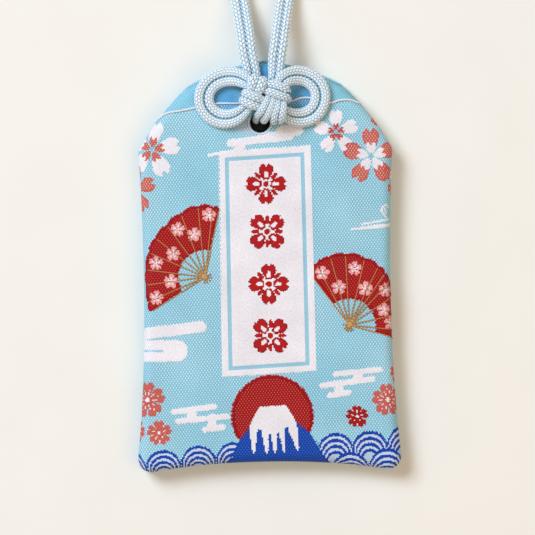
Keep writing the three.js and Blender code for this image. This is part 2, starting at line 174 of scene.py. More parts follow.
def lattice(tree, coordinate):
    """The two slanting counts of the dot lattice, whole numbers at every dot."""
    split = node(tree, "SeparateXYZ", {0: coordinate})
    along = node(tree, "Math", {0: split.outputs["X"], 1: 1 / DOT_STEP}, operation="MULTIPLY")
    across = node(tree, "Math", {0: split.outputs["Y"], 1: 0.5 / DOT_ROW}, operation="MULTIPLY")
    return [node(tree, "Math", {0: along, 1: across}, operation=how) for how in ("ADD", "SUBTRACT")]


def wave_of(tree, count):
    """0 to 1 and back with each whole count."""
    angle = node(tree, "Math", {0: count, 1: math.tau}, operation="MULTIPLY")
    wave = node(tree, "Math", {0: angle}, operation="COSINE")
    return node(tree, "Math", {0: wave, 1: 0.5, 2: 0.5}, operation="MULTIPLY_ADD")


def brocade():
    """Jacquard brocade of rayon yarn on a satin loom: coloured floats tied down by small pale dots of
    the binding weft in slanting rows, with a soft silky sheen."""
    made, tree, shader = material("rayon jacquard brocade", Roughness=0.6, Specular_IOR_Level=0.14)
    weave = node(tree, "UVMap", uv_map="weave")
    plus, minus = lattice(tree, weave)
    twill = wave_of(tree, plus)
    longer = node(tree, "Math", {0: twill, 1: DOT_LENGTHEN}, operation="POWER")
    peak = node(tree, "Math", {0: longer, 1: wave_of(tree, minus)}, operation="MULTIPLY")
    strength = node(tree, "Attribute", attribute_name="dots").outputs["Fac"]
    level = node(tree, "Math", {0: strength, 1: DOT_GROW, 2: peak}, operation="MULTIPLY_ADD")
    dot = node(tree, "MapRange", {"Value": level, "From Min": DOT_SHOWS[0], "From Max": DOT_SHOWS[1]},
               interpolation_type="SMOOTHSTEP")
    full = node(tree, "Math", {0: strength, 1: 2.0}, operation="MULTIPLY", use_clamp=True)
    shown = node(tree, "Math", {0: dot, 1: full}, operation="MULTIPLY")
    shade = node(tree, "MapRange", {"Value": twill, "To Min": 0.94, "To Max": 1.03})
    # the slub's tone is the yarn's own; the broad drape patches are painted light and shade
    for size, detail, low, high in ((SLUB, 3.0, 0.94, 1.07), (DRAPE_SHADING, 1.0, 0.94, 1.05)):
        patch = node(tree, "TexNoise", {"Vector": weave, "Scale": 1 / size, "Detail": detail})
        tone = node(tree, "MapRange", {"Value": patch, "From Min": 0.3, "From Max": 0.7, "To Min": low,
                                       "To Max": high})
        shade = node(tree, "Math", {0: shade, 1: tone}, operation="MULTIPLY")
    yarn, binder = (node(tree, "Attribute", attribute_name=name) for name in ("yarn", "binder"))
    toned = node(tree, "VectorMath", {0: yarn, "Scale": shade}, operation="SCALE")
    colour = node(tree, "Mix", {"Factor": shown, "A": toned, "B": binder}, data_type="RGBA")
    tree.links.new(colour.outputs["Result"], shader.inputs["Base Color"])
    height = node(tree, "Math", {0: dot, 1: DOT_RELIEF, 2: twill}, operation="MULTIPLY_ADD")
    bump = node(tree, "Bump", {"Height": height, "Distance": 0.05 * MM, "Strength": 0.8})
    tree.links.new(bump.outputs["Normal"], shader.inputs["Normal"])
    return made


def braid():
    """Round braid of soft rayon yarn, pale blue, with light and shade painted into its colour by the
    crown
    value: a painted highlight makes the crowns of the plaits read nearly white, and painted shade keeps
    the hollows between them deep blue."""
    made, tree, shader = material("braided rayon cord", Roughness=0.5, Sheen_Weight=0.1,
                                  Sheen_Roughness=0.5, Specular_IOR_Level=0.25)
    crown = node(tree, "Attribute", attribute_name="crown").outputs["Fac"]
    place = node(tree, "TexCoord").outputs["Object"]
    fibre = node(tree, "TexNoise", {"Vector": place, "Scale": 1 / (FIBRE * MM), "Detail": 2.0})
    spread = node(tree, "Math", {0: fibre, 1: FIBRE_SHARE, 2: -FIBRE_SHARE / 2},
                  operation="MULTIPLY_ADD")
    level = node(tree, "Math", {0: crown, 1: spread}, operation="ADD", use_clamp=True)
    # the ramp runs from painted shade in deep blue, through the yarn's pale blue, to a painted highlight
    # near white
    ramp = node(tree, "ValToRGB", {"Fac": level})
    low, high = ramp.color_ramp.elements
    low.color, high.color = srgb("2F6C8F"), srgb("F8FBFF")
    low.position, high.position = 0.02, 0.92
    for position, colour in ((0.2, "5A9FC4"), (0.58, "9BCBE1")):
        ramp.color_ramp.elements.new(position).color = srgb(colour)
    tree.links.new(ramp.outputs["Color"], shader.inputs["Base Color"])
    bump = node(tree, "Bump", {"Height": fibre, "Distance": 0.02 * MM, "Strength": 0.5})
    tree.links.new(bump.outputs["Normal"], shader.inputs["Normal"])
    return made


def thread(name, low, high):
    """Twisted sewing or pattern thread, with light and shade painted into its colour by the crown value:
    painted shade in the twist and where a ply faces down, a painted highlight on its crowns where a ply
    faces up.
    """
    made, tree, shader = material(name, Roughness=0.6, Specular_IOR_Level=0.3)
    crown = node(tree, "Attribute", attribute_name="crown").outputs["Fac"]
    colour = node(tree, "Mix", {"Factor": crown, "A": srgb(low), "B": srgb(high)}, data_type="RGBA")
    tree.links.new(colour.outputs["Result"], shader.inputs["Base Color"])
    return made


def grained(name, low, high, grain, roughness, stretch=(1, 1, 1)):
    """A plain material whose grain, so many millimetres coarse, runs between two close colours."""
    made, tree, shader = material(name, Roughness=roughness, Specular_IOR_Level=0.3)
    place = node(tree, "TexCoord").outputs["Object"]
    turned = node(tree, "Mapping", {"Vector": place, "Scale": stretch})
    grain = node(tree, "TexNoise", {"Vector": turned, "Scale": 1 / (grain * MM), "Detail": 4.0})
    colour = node(tree, "Mix", {"Factor": grain, "A": srgb(low), "B": srgb(high)}, data_type="RGBA")
    tree.links.new(colour.outputs["Result"], shader.inputs["Base Color"])
    bump = node(tree, "Bump", {"Height": grain, "Distance": 0.03 * MM, "Strength": 0.4})
    tree.links.new(bump.outputs["Normal"], shader.inputs["Normal"])
    return made


BRAID = braid()
BROCADE = brocade()
# each thread's darker colour is its painted shade, its lighter one its painted highlight
WHITE_THREAD = thread("white cotton thread", "B4C2DA", "FFFFFF")
GOLD_THREAD = thread("gold pattern thread", "553517", "D6A968")


# Paths and cords ------------------------------------------------------------------------------

def waver(x, y, waves):
    """Waves across a sheet, added up. Each has its turns to the right and up, and its start."""
    return sum(np.sin(x * right + y * up + start) for right, up, start in waves)


def unit(vectors):
    return vectors / np.linalg.norm(vectors, axis=1)[:, None]


def smooth_path(points, step):
    """A smooth curve through the points, as places one step apart."""
    points = np.asarray(points, float)
    ends = [2 * points[0] - points[1], *points, 2 * points[-1] - points[-2]]
    fine = []
    for a, b, c, d in zip(ends, ends[1:], ends[2:], ends[3:]):
        gaps = [max(math.dist(p, q), 1e-9) ** 0.5 for p, q in ((a, b), (b, c), (c, d))]
        t = np.cumsum([0, *gaps])
        for at in np.linspace(t[1], t[2], 12, endpoint=False):
            ab = (a * (t[1] - at) + b * (at - t[0])) / (t[1] - t[0])
            bc = (b * (t[2] - at) + c * (at - t[1])) / (t[2] - t[1])
            cd = (c * (t[3] - at) + d * (at - t[2])) / (t[3] - t[2])
            abc = (ab * (t[2] - at) + bc * (at - t[0])) / (t[2] - t[0])
            bcd = (bc * (t[3] - at) + cd * (at - t[1])) / (t[3] - t[1])
            fine.append((abc * (t[2] - at) + bcd * (at - t[1])) / (t[2] - t[1]))
    return evenly([*fine, points[-1]], step)


def evenly(points, step):
    """The same path as places one step apart."""
    points = np.asarray(points, float)
    run = travelled(points)
    count = max(int(round(run[-1] / step)), 2)
    at = np.linspace(0, run[-1], count + 1)
    return np.stack([np.interp(at, run, column) for column in points.T], -1)


def travelled(points):
    """Distance from the path's start to each of its points."""
    return np.concatenate([[0], np.cumsum(np.linalg.norm(np.diff(points[:, :3], axis=0), axis=1))])


def across(points, level=True):
    """The direction along a path and one across it, carried on without twisting. Where the path isn't
    steep, a level one is taken afresh."""
    along = unit(np.gradient(points[:, :3], axis=0))
    side = np.array([-1.0, 0.0, 0.0]) if level else np.cross(along[0], UP)
    sides = []
    for tangent in along:
        flat = np.cross(UP, tangent)
        if level and np.linalg.norm(flat) > 0.5:
            side = flat * (-1 if flat.dot(side) < 0 else 1)
        side = side - tangent * tangent.dot(side)
        side = side / np.linalg.norm(side)
        sides.append(side)
    return along, np.array(sides)


def roll_tube(bm, rings, values, layer):
    """A grid rolled into a tube through rings of places. Each place has a value for the layer."""
    values = np.broadcast_to(values if values.ndim == 2 else values[:, None], rings.shape[:2])
    count, sides = rings.shape[:2]
    made = bmesh.ops.create_grid(bm, x_segments=sides, y_segments=count - 1, size=1)
    for vert in made["verts"]:
        column = round((vert.co.x + 1) / 2 * sides) % sides
        row = round((vert.co.y + 1) / 2 * (count - 1))
        vert.co = rings[row, column]
        vert[layer] = values[row, column]
    bmesh.ops.remove_doubles(bm, verts=made["verts"], dist=1e-8)


def finished(bm, name, finish, body=None):
    """The mesh as an object that carries the finish, closed and facing out."""
    bmesh.ops.holes_fill(bm, edges=[e for e in bm.edges if e.is_boundary], sides=0)
    bmesh.ops.recalc_face_normals(bm, faces=bm.faces)
    mesh = bpy.data.meshes.new(name)
    bm.to_mesh(mesh)
    bm.free()
    mesh.shade_smooth()
    mesh.materials.append(finish)
    made = in_scene(name, mesh)
    if body:
        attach(made, body)
    return made


HANG_BRAID = (8, 0.52)  # columns of plaits, and a plait's step as a share of the cord's width
KNOT_BRAID = (10, 0.43)
PLAIT = np.array([  # along one plait: how far on in steps, from side to side, height, size
    (0.0, -1.0, 0.0, 0.4), (0.22, -0.6, 0.72, 0.85), (0.5, -0.2, 1.0, 1.0), (0.78, 0.2, 1.0, 1.0),
    (1.06, 0.6, 0.72, 0.85), (1.28, 1.0, 0.0, 0.4), (1.18, 0.3, -0.7, 0.3), (1.08, -0.4, -0.7, 0.3)])
PLAIT_TURN = 0.84  # angle that it crosses as a share of its step over the cord's width
PLAIT_RISE = 0.1  # how far a plait rises and dives, as a share of the width
PLAIT_WIDE = 3.1  # its width as a share of the cord's width, over the columns
PLAIT_THICK = 0.2
PLAIT_LEAN = 0.7  # how far a plait's flat side turns with its slant
FULL_SHARE = 0.53  # the crowns of the plaits stand a little proud of the section
CORE_SHARE = 0.72
CORE_STEP = 0.5
CORE_SIDES = 8
PLAIT_SIDES = 6
HOLLOW_SHADE = 0.2  # painted shade: crown value in the hollows
UNDERSIDE_SHADE = 0.25  # painted shade on a plait's sides and underside, as a share of its top
TOUCH_SHADE = (0.9, 0.97)  # painted shade where a cord touches its partner: it falls to nothing between these cosines of the partner's side
CORE_TOUCH_SHADE = (0.75, 1.0)  # and so on the core, painted shade there too


def ring_places(centre, wide, thick, sides):
    """Rings of places round each centre."""
    around = np.arange(sides) * math.tau / sides
    return (centre[:, None] + np.cos(around)[None, :, None] * wide[:, None]
            + np.sin(around)[None, :, None] * thick[:, None])


def braided(bm, layer, path, widths, thicknesses, plaiting, partner):
    """A round braid: columns of plaits round a core. Those of neighbouring columns lean against each
    other, and every plait dives under the next. Its crown value paints light and shade into the colour:
    a painted highlight on the plaits' tops, painted shade on their sides and undersides and in the
    hollows, and darker painted shade where it touches the partner's side."""
    columns, step = plaiting
    run = travelled(path)
    step *= widths.mean()
    count = int(run[-1] / step) - 1
    along, side = across(path)
    up = np.cross(along, side)
    frames = np.hstack([path, along, side, up, widths[:, None], thicknesses[:, None]])
    around = np.arange(PLAIT_SIDES) * math.tau / PLAIT_SIDES
    # painted highlight on the side of each plait that faces out, painted shade round the rest
    over = UNDERSIDE_SHADE + (1 - UNDERSIDE_SHADE) * np.clip(np.sin(around), 0, 1)
    for column in range(columns):
        hand = 1 if column % 2 else -1
        ahead, sway, high, size = np.tile(PLAIT, (count, 1)).T
        at = (np.repeat(np.arange(count), len(PLAIT)) + ahead + 0.5 * (column % 2)) * step
        here = np.stack([np.interp(at, run, values) for values in frames.T], -1)
        centre, tangent, flat, rise = (here[:, i:i + 3] for i in (0, 3, 6, 9))
        wide, thick = here[:, 12:13], here[:, 13:14]
        angle = math.tau * (column + 0.5) / columns + hand * sway * PLAIT_TURN * step / widths.mean()
        cosine, sine = np.cos(angle)[:, None], np.sin(angle)[:, None]
        out = cosine * flat + sine * rise
        depth = (FULL_SHARE - PLAIT_THICK / 2 - PLAIT_RISE * (1 - high))[:, None]
        place = centre + (cosine * flat * wide + sine * rise * thick) * depth
        lean = tangent + np.cross(tangent, out) * hand * PLAIT_LEAN
        broad = unit(np.cross(lean, out)) * size[:, None] * wide * PLAIT_WIDE / columns / 2
        rings = ring_places(place, broad, out * thick * size[:, None] * PLAIT_THICK / 2, PLAIT_SIDES)
        # painted light and shade: the plait's top is lit, the hollows are shaded, and it darkens where
        # it touches its partner
        crown = HOLLOW_SHADE + (1 - HOLLOW_SHADE) * np.clip(high, 0, 1)[:, None] * over
        crown = crown * np.interp(cosine * partner, TOUCH_SHADE, (1, 0))
        roll_tube(bm, metres(rings), crown, layer)
    places = slice(None, None, max(int(CORE_STEP / (run[1] - run[0])), 1))
    core = ring_places(path[places], (side * widths[:, None])[places] * CORE_SHARE / 2,
                       (up * thicknesses[:, None])[places] * CORE_SHARE / 2, CORE_SIDES)
    # painted shade on the core, darkest towards the partner
    facing = np.cos(np.arange(CORE_SIDES) * math.tau / CORE_SIDES) * partner
    crown = np.interp(facing, CORE_TOUCH_SHADE, (HOLLOW_SHADE, 0))
    roll_tube(bm, metres(core), np.broadcast_to(crown, core.shape[:2]), layer)


PLIES, PLY_SIDES, PLY_STEPS = 2, 5, 8  # steps in one turn of the twist
PLY_PLACE, PLY_WIDE, PLY_THICK = 0.22, 0.34, 0.28  # shares of the thread's width


def twisted(bm, layer, path, diameter, pitch):
    """A thread of plies twisted together."""
    centre = evenly(path, pitch / PLY_STEPS)
    along, side = across(centre, level=False)
    rise = np.cross(along, side)
    for ply in range(PLIES):
        angle = math.tau * (travelled(centre) / pitch + ply / PLIES)
        out = np.cos(angle)[:, None] * side + np.sin(angle)[:, None] * rise
        wide = unit(np.cross(np.gradient(centre, axis=0), out))
        place = centre + out * diameter * PLY_PLACE
        rings = ring_places(place, wide * diameter * PLY_WIDE, out * diameter * PLY_THICK, PLY_SIDES)
        # painted light: the crown value is higher where a ply faces up and lower where it faces down
        roll_tube(bm, metres(rings), 0.5 + 0.5 * out[:, 2], layer)


def new_bmesh():
    bm = bmesh.new()
    # the crown value carries painted light and shade into the braid's and threads' colour
    return bm, bm.verts.layers.float.new("crown")


def of_kind(kind, parts):
    """The vertices or edges among what an operator made."""
    return [part for part in parts if isinstance(part, kind)]


def read_off(table, value):
    """What a table of pairs gives for a value."""
    return np.interp(value, *np.array(table).T)


# The doubled cord's middle line in the knot, drawn tighter than the solids' cord: x and y from the
# knot's middle, levels from the lowest course, and the width to which the knot squeezes the cord
KNOT_Y = 32.65
LEVEL = 1.36
LEAD_ROUTE = [
    (2.3, 5.25, 0, 1.65), (2.3, 4.2, 0.1, 1.55), (2.1, 3.2, 0.4, 1.4), (1.75, 2.3, 1.1, 1.15),
    (1.4, 1.4, 1.7, 1.05), (1.2, 0.5, 2.0, 1.05), (1.2, -0.4, 2.2, 1.1), (1.15, -1.3, 2.75, 1.3),
    (0.8, -2.1, 3.0, 1.45), (0.3, -3.0, 3.0, 1.5), (-0.2, -3.8, 2.7, 1.52), (-0.6, -4.3, 2.0, 1.52),
    (-0.75, -4.45, 1.0, 1.5), (-0.8, -4.5, 0.1, 1.45),
]
COURSE_ROUTE = [
    (-2.75, 5.25, 0, 1.65), (-2.65, 4.2, 0, 1.6), (-2.2, 2.8, 0, 1.5), (-1.3, 1.2, 0, 1.4),
    (-0.2, -0.4, 0, 1.3), (0.9, -1.8, 0, 1.3), (1.8, -3.2, 0, 1.35), (2.2, -4.3, 0.1, 1.45),
    (2.35, -4.95, 0.7, 1.45), (2.4, -5.2, 1.5, 1.45), (2.45, -4.95, 2.4, 1.45),
    (2.55, -4.2, 2.95, 1.45), (2.75, -3.3, 3.0, 1.45), (3.0, -2.4, 2.85, 1.35),
    (3.15, -1.5, 2.45, 1.2), (3.1, -0.6, 2.05, 1.05),
    (2.9, 0.3, 2.0, 1.05), (2.8, 1.2, 2.0, 1.15), (3.05, 2.1, 2.0, 1.4), (3.7, 2.8, 1.7, 1.65),
    (4.7, 3.35, 1.2, 1.8), (5.9, 3.6, 0.6, 1.92), (7.3, 3.55, 0.15, 1.92), (8.7, 3.0, 0, 1.92),
    (9.9, 2.0, 0, 1.92), (10.6, 0.7, 0, 1.92), (10.7, -0.9, 0, 1.92), (10.2, -2.5, 0, 1.92),
    (9.1, -3.8, 0, 1.92), (7.6, -4.45, 0.1, 1.92), (6.2, -4.5, 0.5, 1.8), (5.0, -4.3, 1.1, 1.65),
    (4.0, -3.85, 1.6, 1.5), (3.0, -3.35, 1.95, 1.4), (1.7, -2.8, 2.0, 1.35), (0.5, -2.35, 2.05, 1.4),
    (-0.5, -1.9, 2.4, 1.6), (-1.4, -1.5, 2.85, 1.75), (-2.3, -1.1, 3.0, 1.85), (-3.2, -0.7, 2.95, 1.75),
    (-3.9, -0.4, 2.55, 1.6), (-4.15, -0.3, 2.0, 1.5), (-3.9, -0.25, 1.4, 1.4), (-3.1, -0.4, 1.0, 1.3),
    (-1.8, -0.55, 1.0, 1.2), (-0.3, -0.65, 1.0, 1.1), (1.2, -0.7, 1.0, 1.1), (2.6, -0.65, 1.0, 1.2),
    (3.7, -0.5, 1.1, 1.35), (4.3, -0.35, 1.5, 1.5), (4.45, -0.25, 2.1, 1.55), (4.1, -0.05, 2.7, 1.6),
    (3.3, 0.35, 3.0, 1.65), (2.2, 0.85, 3.0, 1.7), (1.3, 1.2, 2.95, 1.7), (0.6, 1.3, 2.6, 1.5),
    (-0.1, 1.3, 2.15, 1.1), (-1.0, 1.3, 2.0, 1.05), (-2.0, 1.65, 2.0, 1.1), (-2.9, 2.15, 1.8, 1.35),
    (-3.8, 2.75, 1.4, 1.6), (-4.8, 3.3, 0.9, 1.75), (-6.0, 3.6, 0.4, 1.92), (-7.5, 3.6, 0.1, 1.92),
    (-9.1, 3.1, 0, 1.92), (-10.5, 2.1, 0, 1.92), (-11.4, 0.6, 0, 1.92), (-11.6, -1.1, 0, 1.92),
    (-11.0, -2.7, 0, 1.92), (-9.7, -4.0, 0, 1.92), (-8.0, -4.55, 0.1, 1.92), (-6.4, -4.45, 0.5, 1.8),
    (-5.0, -3.9, 1.1, 1.6), (-3.9, -3.05, 1.7, 1.3), (-3.1, -2.1, 1.95, 1.1), (-2.6, -1.0, 2.0, 1.05),
    (-2.2, 0.0, 2.1, 1.3), (-1.85, 0.7, 2.5, 1.7), (-1.5, 1.3, 2.85, 1.95), (-1.2, 1.9, 3.0, 2.0),
    (-0.95, 2.45, 2.8, 1.95), (-0.85, 2.75, 2.1, 1.8), (-0.85, 2.6, 1.4, 1.5), (-1.0, 2.1, 1.0, 1.2),
    (-1.2, 1.3, 1.0, 1.1),
]
# Where the cord hangs free it follows the solids' route, as in the part's source
REST_Z = 0.87
KNOT_Z = 6.725
HANG_ROUTE = [
    (2.3, 38.35, KNOT_Z), (2.45, 39.6, KNOT_Z), (2.85, 42, 6.45), (3.2, 44.6, 5.4), (3.6, 47.2, 3.9),
    (4.1, 50.4, 2.35), (4.7, 54.2, 1.3), (5.5, 59, 0.92), (6.7, 66.5, REST_Z), (8, 75, REST_Z),
    (9.1, 84, REST_Z), (9.5, 91.5, REST_Z), (8.6, 98.5, REST_Z), (5.5, 104, REST_Z),
    (0.2, 106, REST_Z), (-5.1, 104, REST_Z), (-8.2, 98.5, REST_Z), (-9.1, 91.5, REST_Z),
    (-8.8, 84, REST_Z), (-7.9, 75, REST_Z), (-6.8, 66.5, REST_Z), (-5.8, 59, 0.92),
    (-5.0, 54.2, 1.3), (-4.35, 50.4, 2.35), (-3.9, 47.2, 3.9), (-3.5, 44.6, 5.4),
    (-3.2, 42, 6.45), (-2.9, 39.6, KNOT_Z), (-2.75, 38.35, KNOT_Z),
]

HANG_D = 1.72  # width of the cord where it hangs free
FLAT_SHARE = 0.85  # thickness of the cord in the knot as a share of its width there
FLUSH_SHARE = 0.94  # two soft cords side by side press into each other
FACE_Z = 5.75  # height of the cloth under the knot
COURSE_Z = FACE_Z + 0.7  # and of the middle of the lowest course
BEAD = 0.6  # distance between the places that push each other apart
OWN_REACH = 3.4  # nearer than this along one cord they don't
SETTLE_ROUNDS = 300
PUSH, SMOOTH, HOLD = 0.16, 0.1, 0.04
PATH_STEP = 0.15
HANG_STEP = 0.5
ROOM = 3  # steps of the loop left out at its ends, where it meets the knot's cords
TAIL_PITCH = 1.5  # between the two cords in the hole
TAIL_ROUTE = [  # inside, down to the stopper knot: y from the hole, height, width
    (0.5, 5.2, 1.45), (0.35, 4.2, 1.35), (0.1, 3.2, 1.25), (-0.6, 2.3, 1.25), (-1.6, 1.95, 1.25),
    (-3.5, 1.9, 1.25), (-5.6, 1.9, 1.25),
]
ROUND_Y = (3.2, 6.2)  # from the knot's middle: the cord turns from flat to round


def knot_pair(route):
    """The two cords of a doubled course, which lies like a flat ribbon along its middle line."""
    middle = smooth_path([(x, KNOT_Y + y, COURSE_Z + LEVEL * level, wide)
                          for x, y, level, wide in route], BEAD)
    _, flats = across(middle)
    offset = np.column_stack([flats * middle[:, 3:] * FLUSH_SHARE / 2, np.zeros(len(middle))])
    return [evenly(middle + offset * hand, BEAD) for hand in (-1, 1)]


def drawn_up(cords):
    """Courses that come too close push each other apart, while each cord keeps smooth, stays above
    the cloth and holds to the place that its route gives it."""
    routes = np.concatenate(cords)
    widths, routes = routes[:, 3:], routes[:, :3]
    size = widths[:, 0] * FLAT_SHARE
    owner = np.concatenate([np.full(len(cord), i) for i, cord in enumerate(cords)])
    index = np.arange(len(routes))
    wanted = (size[:, None] + size[None]) / 2
    near = (owner[:, None] == owner[None]) & (np.abs(index[:, None] - index[None]) < OWN_REACH / BEAD)
    free = np.diff(owner, prepend=-1) + np.diff(owner, append=-1) == 0
    places = routes.copy()
    for _ in range(SETTLE_ROUNDS):
        apart = places[:, None] - places[None]
        distance = np.linalg.norm(apart, axis=2) + 1e-9
        push = np.where(near | (distance > wanted), 0, (wanted - distance) / distance) * PUSH
        moved = places + (apart * push[..., None]).sum(1)
        middle = (np.roll(moved, 1, 0) + np.roll(moved, -1, 0)) / 2
        moved += (middle - moved) * SMOOTH
        moved += (routes - moved) * HOLD
        moved[:, 2] = np.maximum(moved[:, 2], FACE_Z + size / 2)
        places[free] = moved[free]
    settled = np.column_stack([places, widths])
    return [settled[owner == i] for i in range(len(cords))]


def tied_cords():
    """The four cords of the knot by name, drawn up."""
    cords = [cord for route in (LEAD_ROUTE, COURSE_ROUTE) for cord in knot_pair(route)]
    names = ["knot_lead_right", "knot_lead_left", "knot_course_first", "knot_course_second"]
    return dict(zip(names, drawn_up(cords)))


HIDE_Y = KNOT_Y + 2.5  # under the top course, where the knot's cords meet the loop's


def split_at(cord):
    """The stretch of a cord that shows above the knot, from its end down, and the rest."""
    place = int(np.argmax(cord[:, 1] < HIDE_Y))
    return cord[:place + 1], cord[place:]


def add_knot(rest):
    """The four cords of the knot. Those that go down into the hole end in the tails."""
    for name, cord in rest.items():
        lead = "lead" in name
        partner = 1 if name.endswith(("right", "first")) else -1
        if lead:
            x = HOLE[0] + partner * TAIL_PITCH / 2
            cord = np.vstack([cord, [(x, HOLE[1] + y, z, width) for y, z, width in TAIL_ROUTE]])
        path = smooth_path(cord, PATH_STEP)
        bm, layer = new_bmesh()
        braided(bm, layer, path[:, :3], path[:, 3], path[:, 3] * FLAT_SHARE, KNOT_BRAID, partner)
        piece = finished(bm, name + "_braid", BRAID)
        if lead:
            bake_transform(piece)
        else:
            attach(piece, "knot")
        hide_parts(name, *([name.replace("knot_lead", "tail")] if lead else []))


LOOP_ENDS = {"outer": ("knot_lead_right", "knot_course_second"),
             "inner": ("knot_lead_left", "knot_course_first")}


def add_loop(shown):
    """The two cords of the hanging loop, round where they leave the knot's flat courses."""
    middle = smooth_path(HANG_ROUTE, HANG_STEP)
    _, flats = across(middle)
    for hand, (name, (right, left)) in zip((-1, 1), LOOP_ENDS.items()):
        loop = middle + flats * hand * HANG_D * FLUSH_SHARE / 2
        loop = np.column_stack([loop, np.full(len(loop), HANG_D)])[ROOM:-ROOM]
        path = smooth_path(np.vstack([shown[right][::-1], loop, shown[left][::-1]])[::2], PATH_STEP)
        thick = np.interp(path[:, 1] - KNOT_Y, ROUND_Y, (FLAT_SHARE, 1)) * path[:, 3]
        bm, layer = new_bmesh()
        braided(bm, layer, path[:, :3], path[:, 3], thick, HANG_BRAID, -hand)
        piece = finished(bm, f"hang_cord_{name}", BRAID)
        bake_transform(piece)
        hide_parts(f"hang_loop_{name}")


def add_cords():
    shown, rest = {}, {}
    for name, cord in tied_cords().items():
        shown[name], rest[name] = split_at(cord)
    add_knot(rest)
    add_loop(shown)


add_camera()
add_cords()


# The pouch ------------------------------------------------------------------------------------

def bezier(*controls):
    """A stretch of outline, without its last point."""
    t = np.linspace(0, 1, 18, endpoint=False)[:, None]
    order = len(controls) - 1
    return sum(math.comb(order, i) * t ** i * (1 - t) ** (order - i) * np.array(control, float)
               for i, control in enumerate(controls))


def outline(lip):
    """The pouch's outline, anticlockwise from the middle of its foot."""
    side = (8 * HALF_WAIST - HALF_FOOT - HALF_SHOULDER) / 6
    low, high = (FOOT_Y + (SHOULDER_Y - FOOT_Y) * third / 3 for third in (1, 2))
    run = np.array([HALF_MOUTH - HALF_SHOULDER, MOUTH_CORNER_Y - SHOULDER_Y])
    out = np.array([run[1], -run[0]]) / np.hypot(*run) * 2 * SHOULDER_BULGE
    foot, mouth = (0, FOOT_Y + FOOT_ARCH), (0, MOUTH_Y + lip)
    foot_corner = (HALF_FOOT, FOOT_Y)
    corner = (HALF_FOOT - FOOT_CORNER, FOOT_Y), foot_corner, (HALF_FOOT, FOOT_Y + FOOT_CORNER)
    shoulder = np.array([HALF_SHOULDER, SHOULDER_Y])
    tip = (HALF_MOUTH, MOUTH_CORNER_Y + lip)
    half = np.vstack([
        bezier(foot, (HALF_FOOT / 2, FOOT_Y + FOOT_ARCH), corner[0]), bezier(*corner),
        bezier(corner[2], (side, low), (side, high), shoulder),
        bezier(shoulder, shoulder + run / 2 + out, tip),
        bezier(tip, (MOUTH_CROWN[0], mouth[1] - MOUTH_CROWN[1]), mouth), [mouth]])
    return np.vstack([half, half[-2:0:-1] * (-1, 1)])


def drawn_in(line, distance):
    """The closed line moved inwards."""
    along = unit(unit(np.roll(line, -1, 0) - line) + unit(line - np.roll(line, 1, 0)))
    return line + np.stack([-along[:, 1], along[:, 0]], -1) * distance


AT_ONCE = 2000  # points taken together, to spare memory


def nearest(points, line):
    """Nearest place on a closed line, and how deep inside it each point is."""
    step = np.roll(line, -1, 0) - line
    length2 = (step ** 2).sum(1)
    places, depths = [], []
    for some in np.array_split(points, max(len(points) // AT_ONCE, 1)):
        rel = some[:, None] - line[None]
        share = np.clip((rel * step).sum(2) / length2, 0, 1)
        foot = line + share[..., None] * step
        distance = np.linalg.norm(some[:, None] - foot, axis=2)
        best = distance.argmin(1)
        rows = np.arange(len(some))
        above = (line[:, 1] > some[:, 1:]) != (np.roll(line[:, 1], -1) > some[:, 1:])
        slope = step[:, 0] / np.where(step[:, 1] == 0, 1e-12, step[:, 1])
        inside = (above & (rel[..., 0] < rel[..., 1] * slope)).sum(1) % 2 == 1
        places.append(foot[rows, best])
        depths.append(distance[rows, best] * np.where(inside, 1, -1))
    return np.vstack(places), np.concatenate(depths)


CROWN_FROM = 15.0  # this far in from the edge, a face stands at its highest
UNEVEN, UNEVEN_FROM = 0.045, 6.0  # stiffened cloth wavers a little, none at the edge
CLOTH_WAVES = ((0.31, 0.12, 1.0), (-0.09, 0.23, 0.0), (0.41, 0.41, 2.0))
TURN_DOWN = np.array([(0, 0.25), (0.1, 0.06), (0.35, 0)])  # in from the side, and off the seam


class Cover:
    """One face of the pouch: how cloth laid flat lies on it, over its rounded edge and to the seam."""

    def __init__(self, lip, rim, face_z, turn_down, seam_z, crown):
        self.line = drawn_in(outline(lip), rim)
        self.rim, self.face_z, self.crown, self.sign = rim, face_z, crown, -1 if turn_down else 1
        bend = np.linspace(0, math.pi / 2, 9)
        out = [*rim * np.sin(bend), *rim - TURN_DOWN[:, 0]]
        high = [*face_z + self.sign * rim * (1 - np.cos(bend)), *seam_z - self.sign * TURN_DOWN[:, 1]]
        self.profile = np.stack([out, high], -1)
        self.run = travelled(self.profile)
        self.reach = self.run[-1]

    def place(self, flat, lift=0.0):
        """Where flat cloth comes to lie, lifted off by so much, and its depth inside the inner line."""
        foot, depth = nearest(flat, self.line)
        beyond = np.clip(-depth, 0, self.reach)
        out = np.interp(beyond, self.run, self.profile[:, 0])
        high = np.interp(beyond, self.run, self.profile[:, 1])
        away = (flat - foot) / np.maximum(np.abs(depth), 1e-9)[:, None]
        level = np.clip(beyond / (self.rim * math.pi / 2), 0, 1) * math.pi / 2
        xy = np.where((depth < 0)[:, None], foot + away * (out + lift * np.sin(level))[:, None], flat)
        swell = self.crown * (1 - (1 - np.clip(depth / CROWN_FROM, 0, 1)) ** 2)
        uneven = UNEVEN * waver(*flat.T, CLOTH_WAVES) * np.clip(depth / UNEVEN_FROM, 0, 1)
        z = high - self.sign * (swell + uneven + lift * np.cos(level))
        return np.column_stack([xy, z]), depth


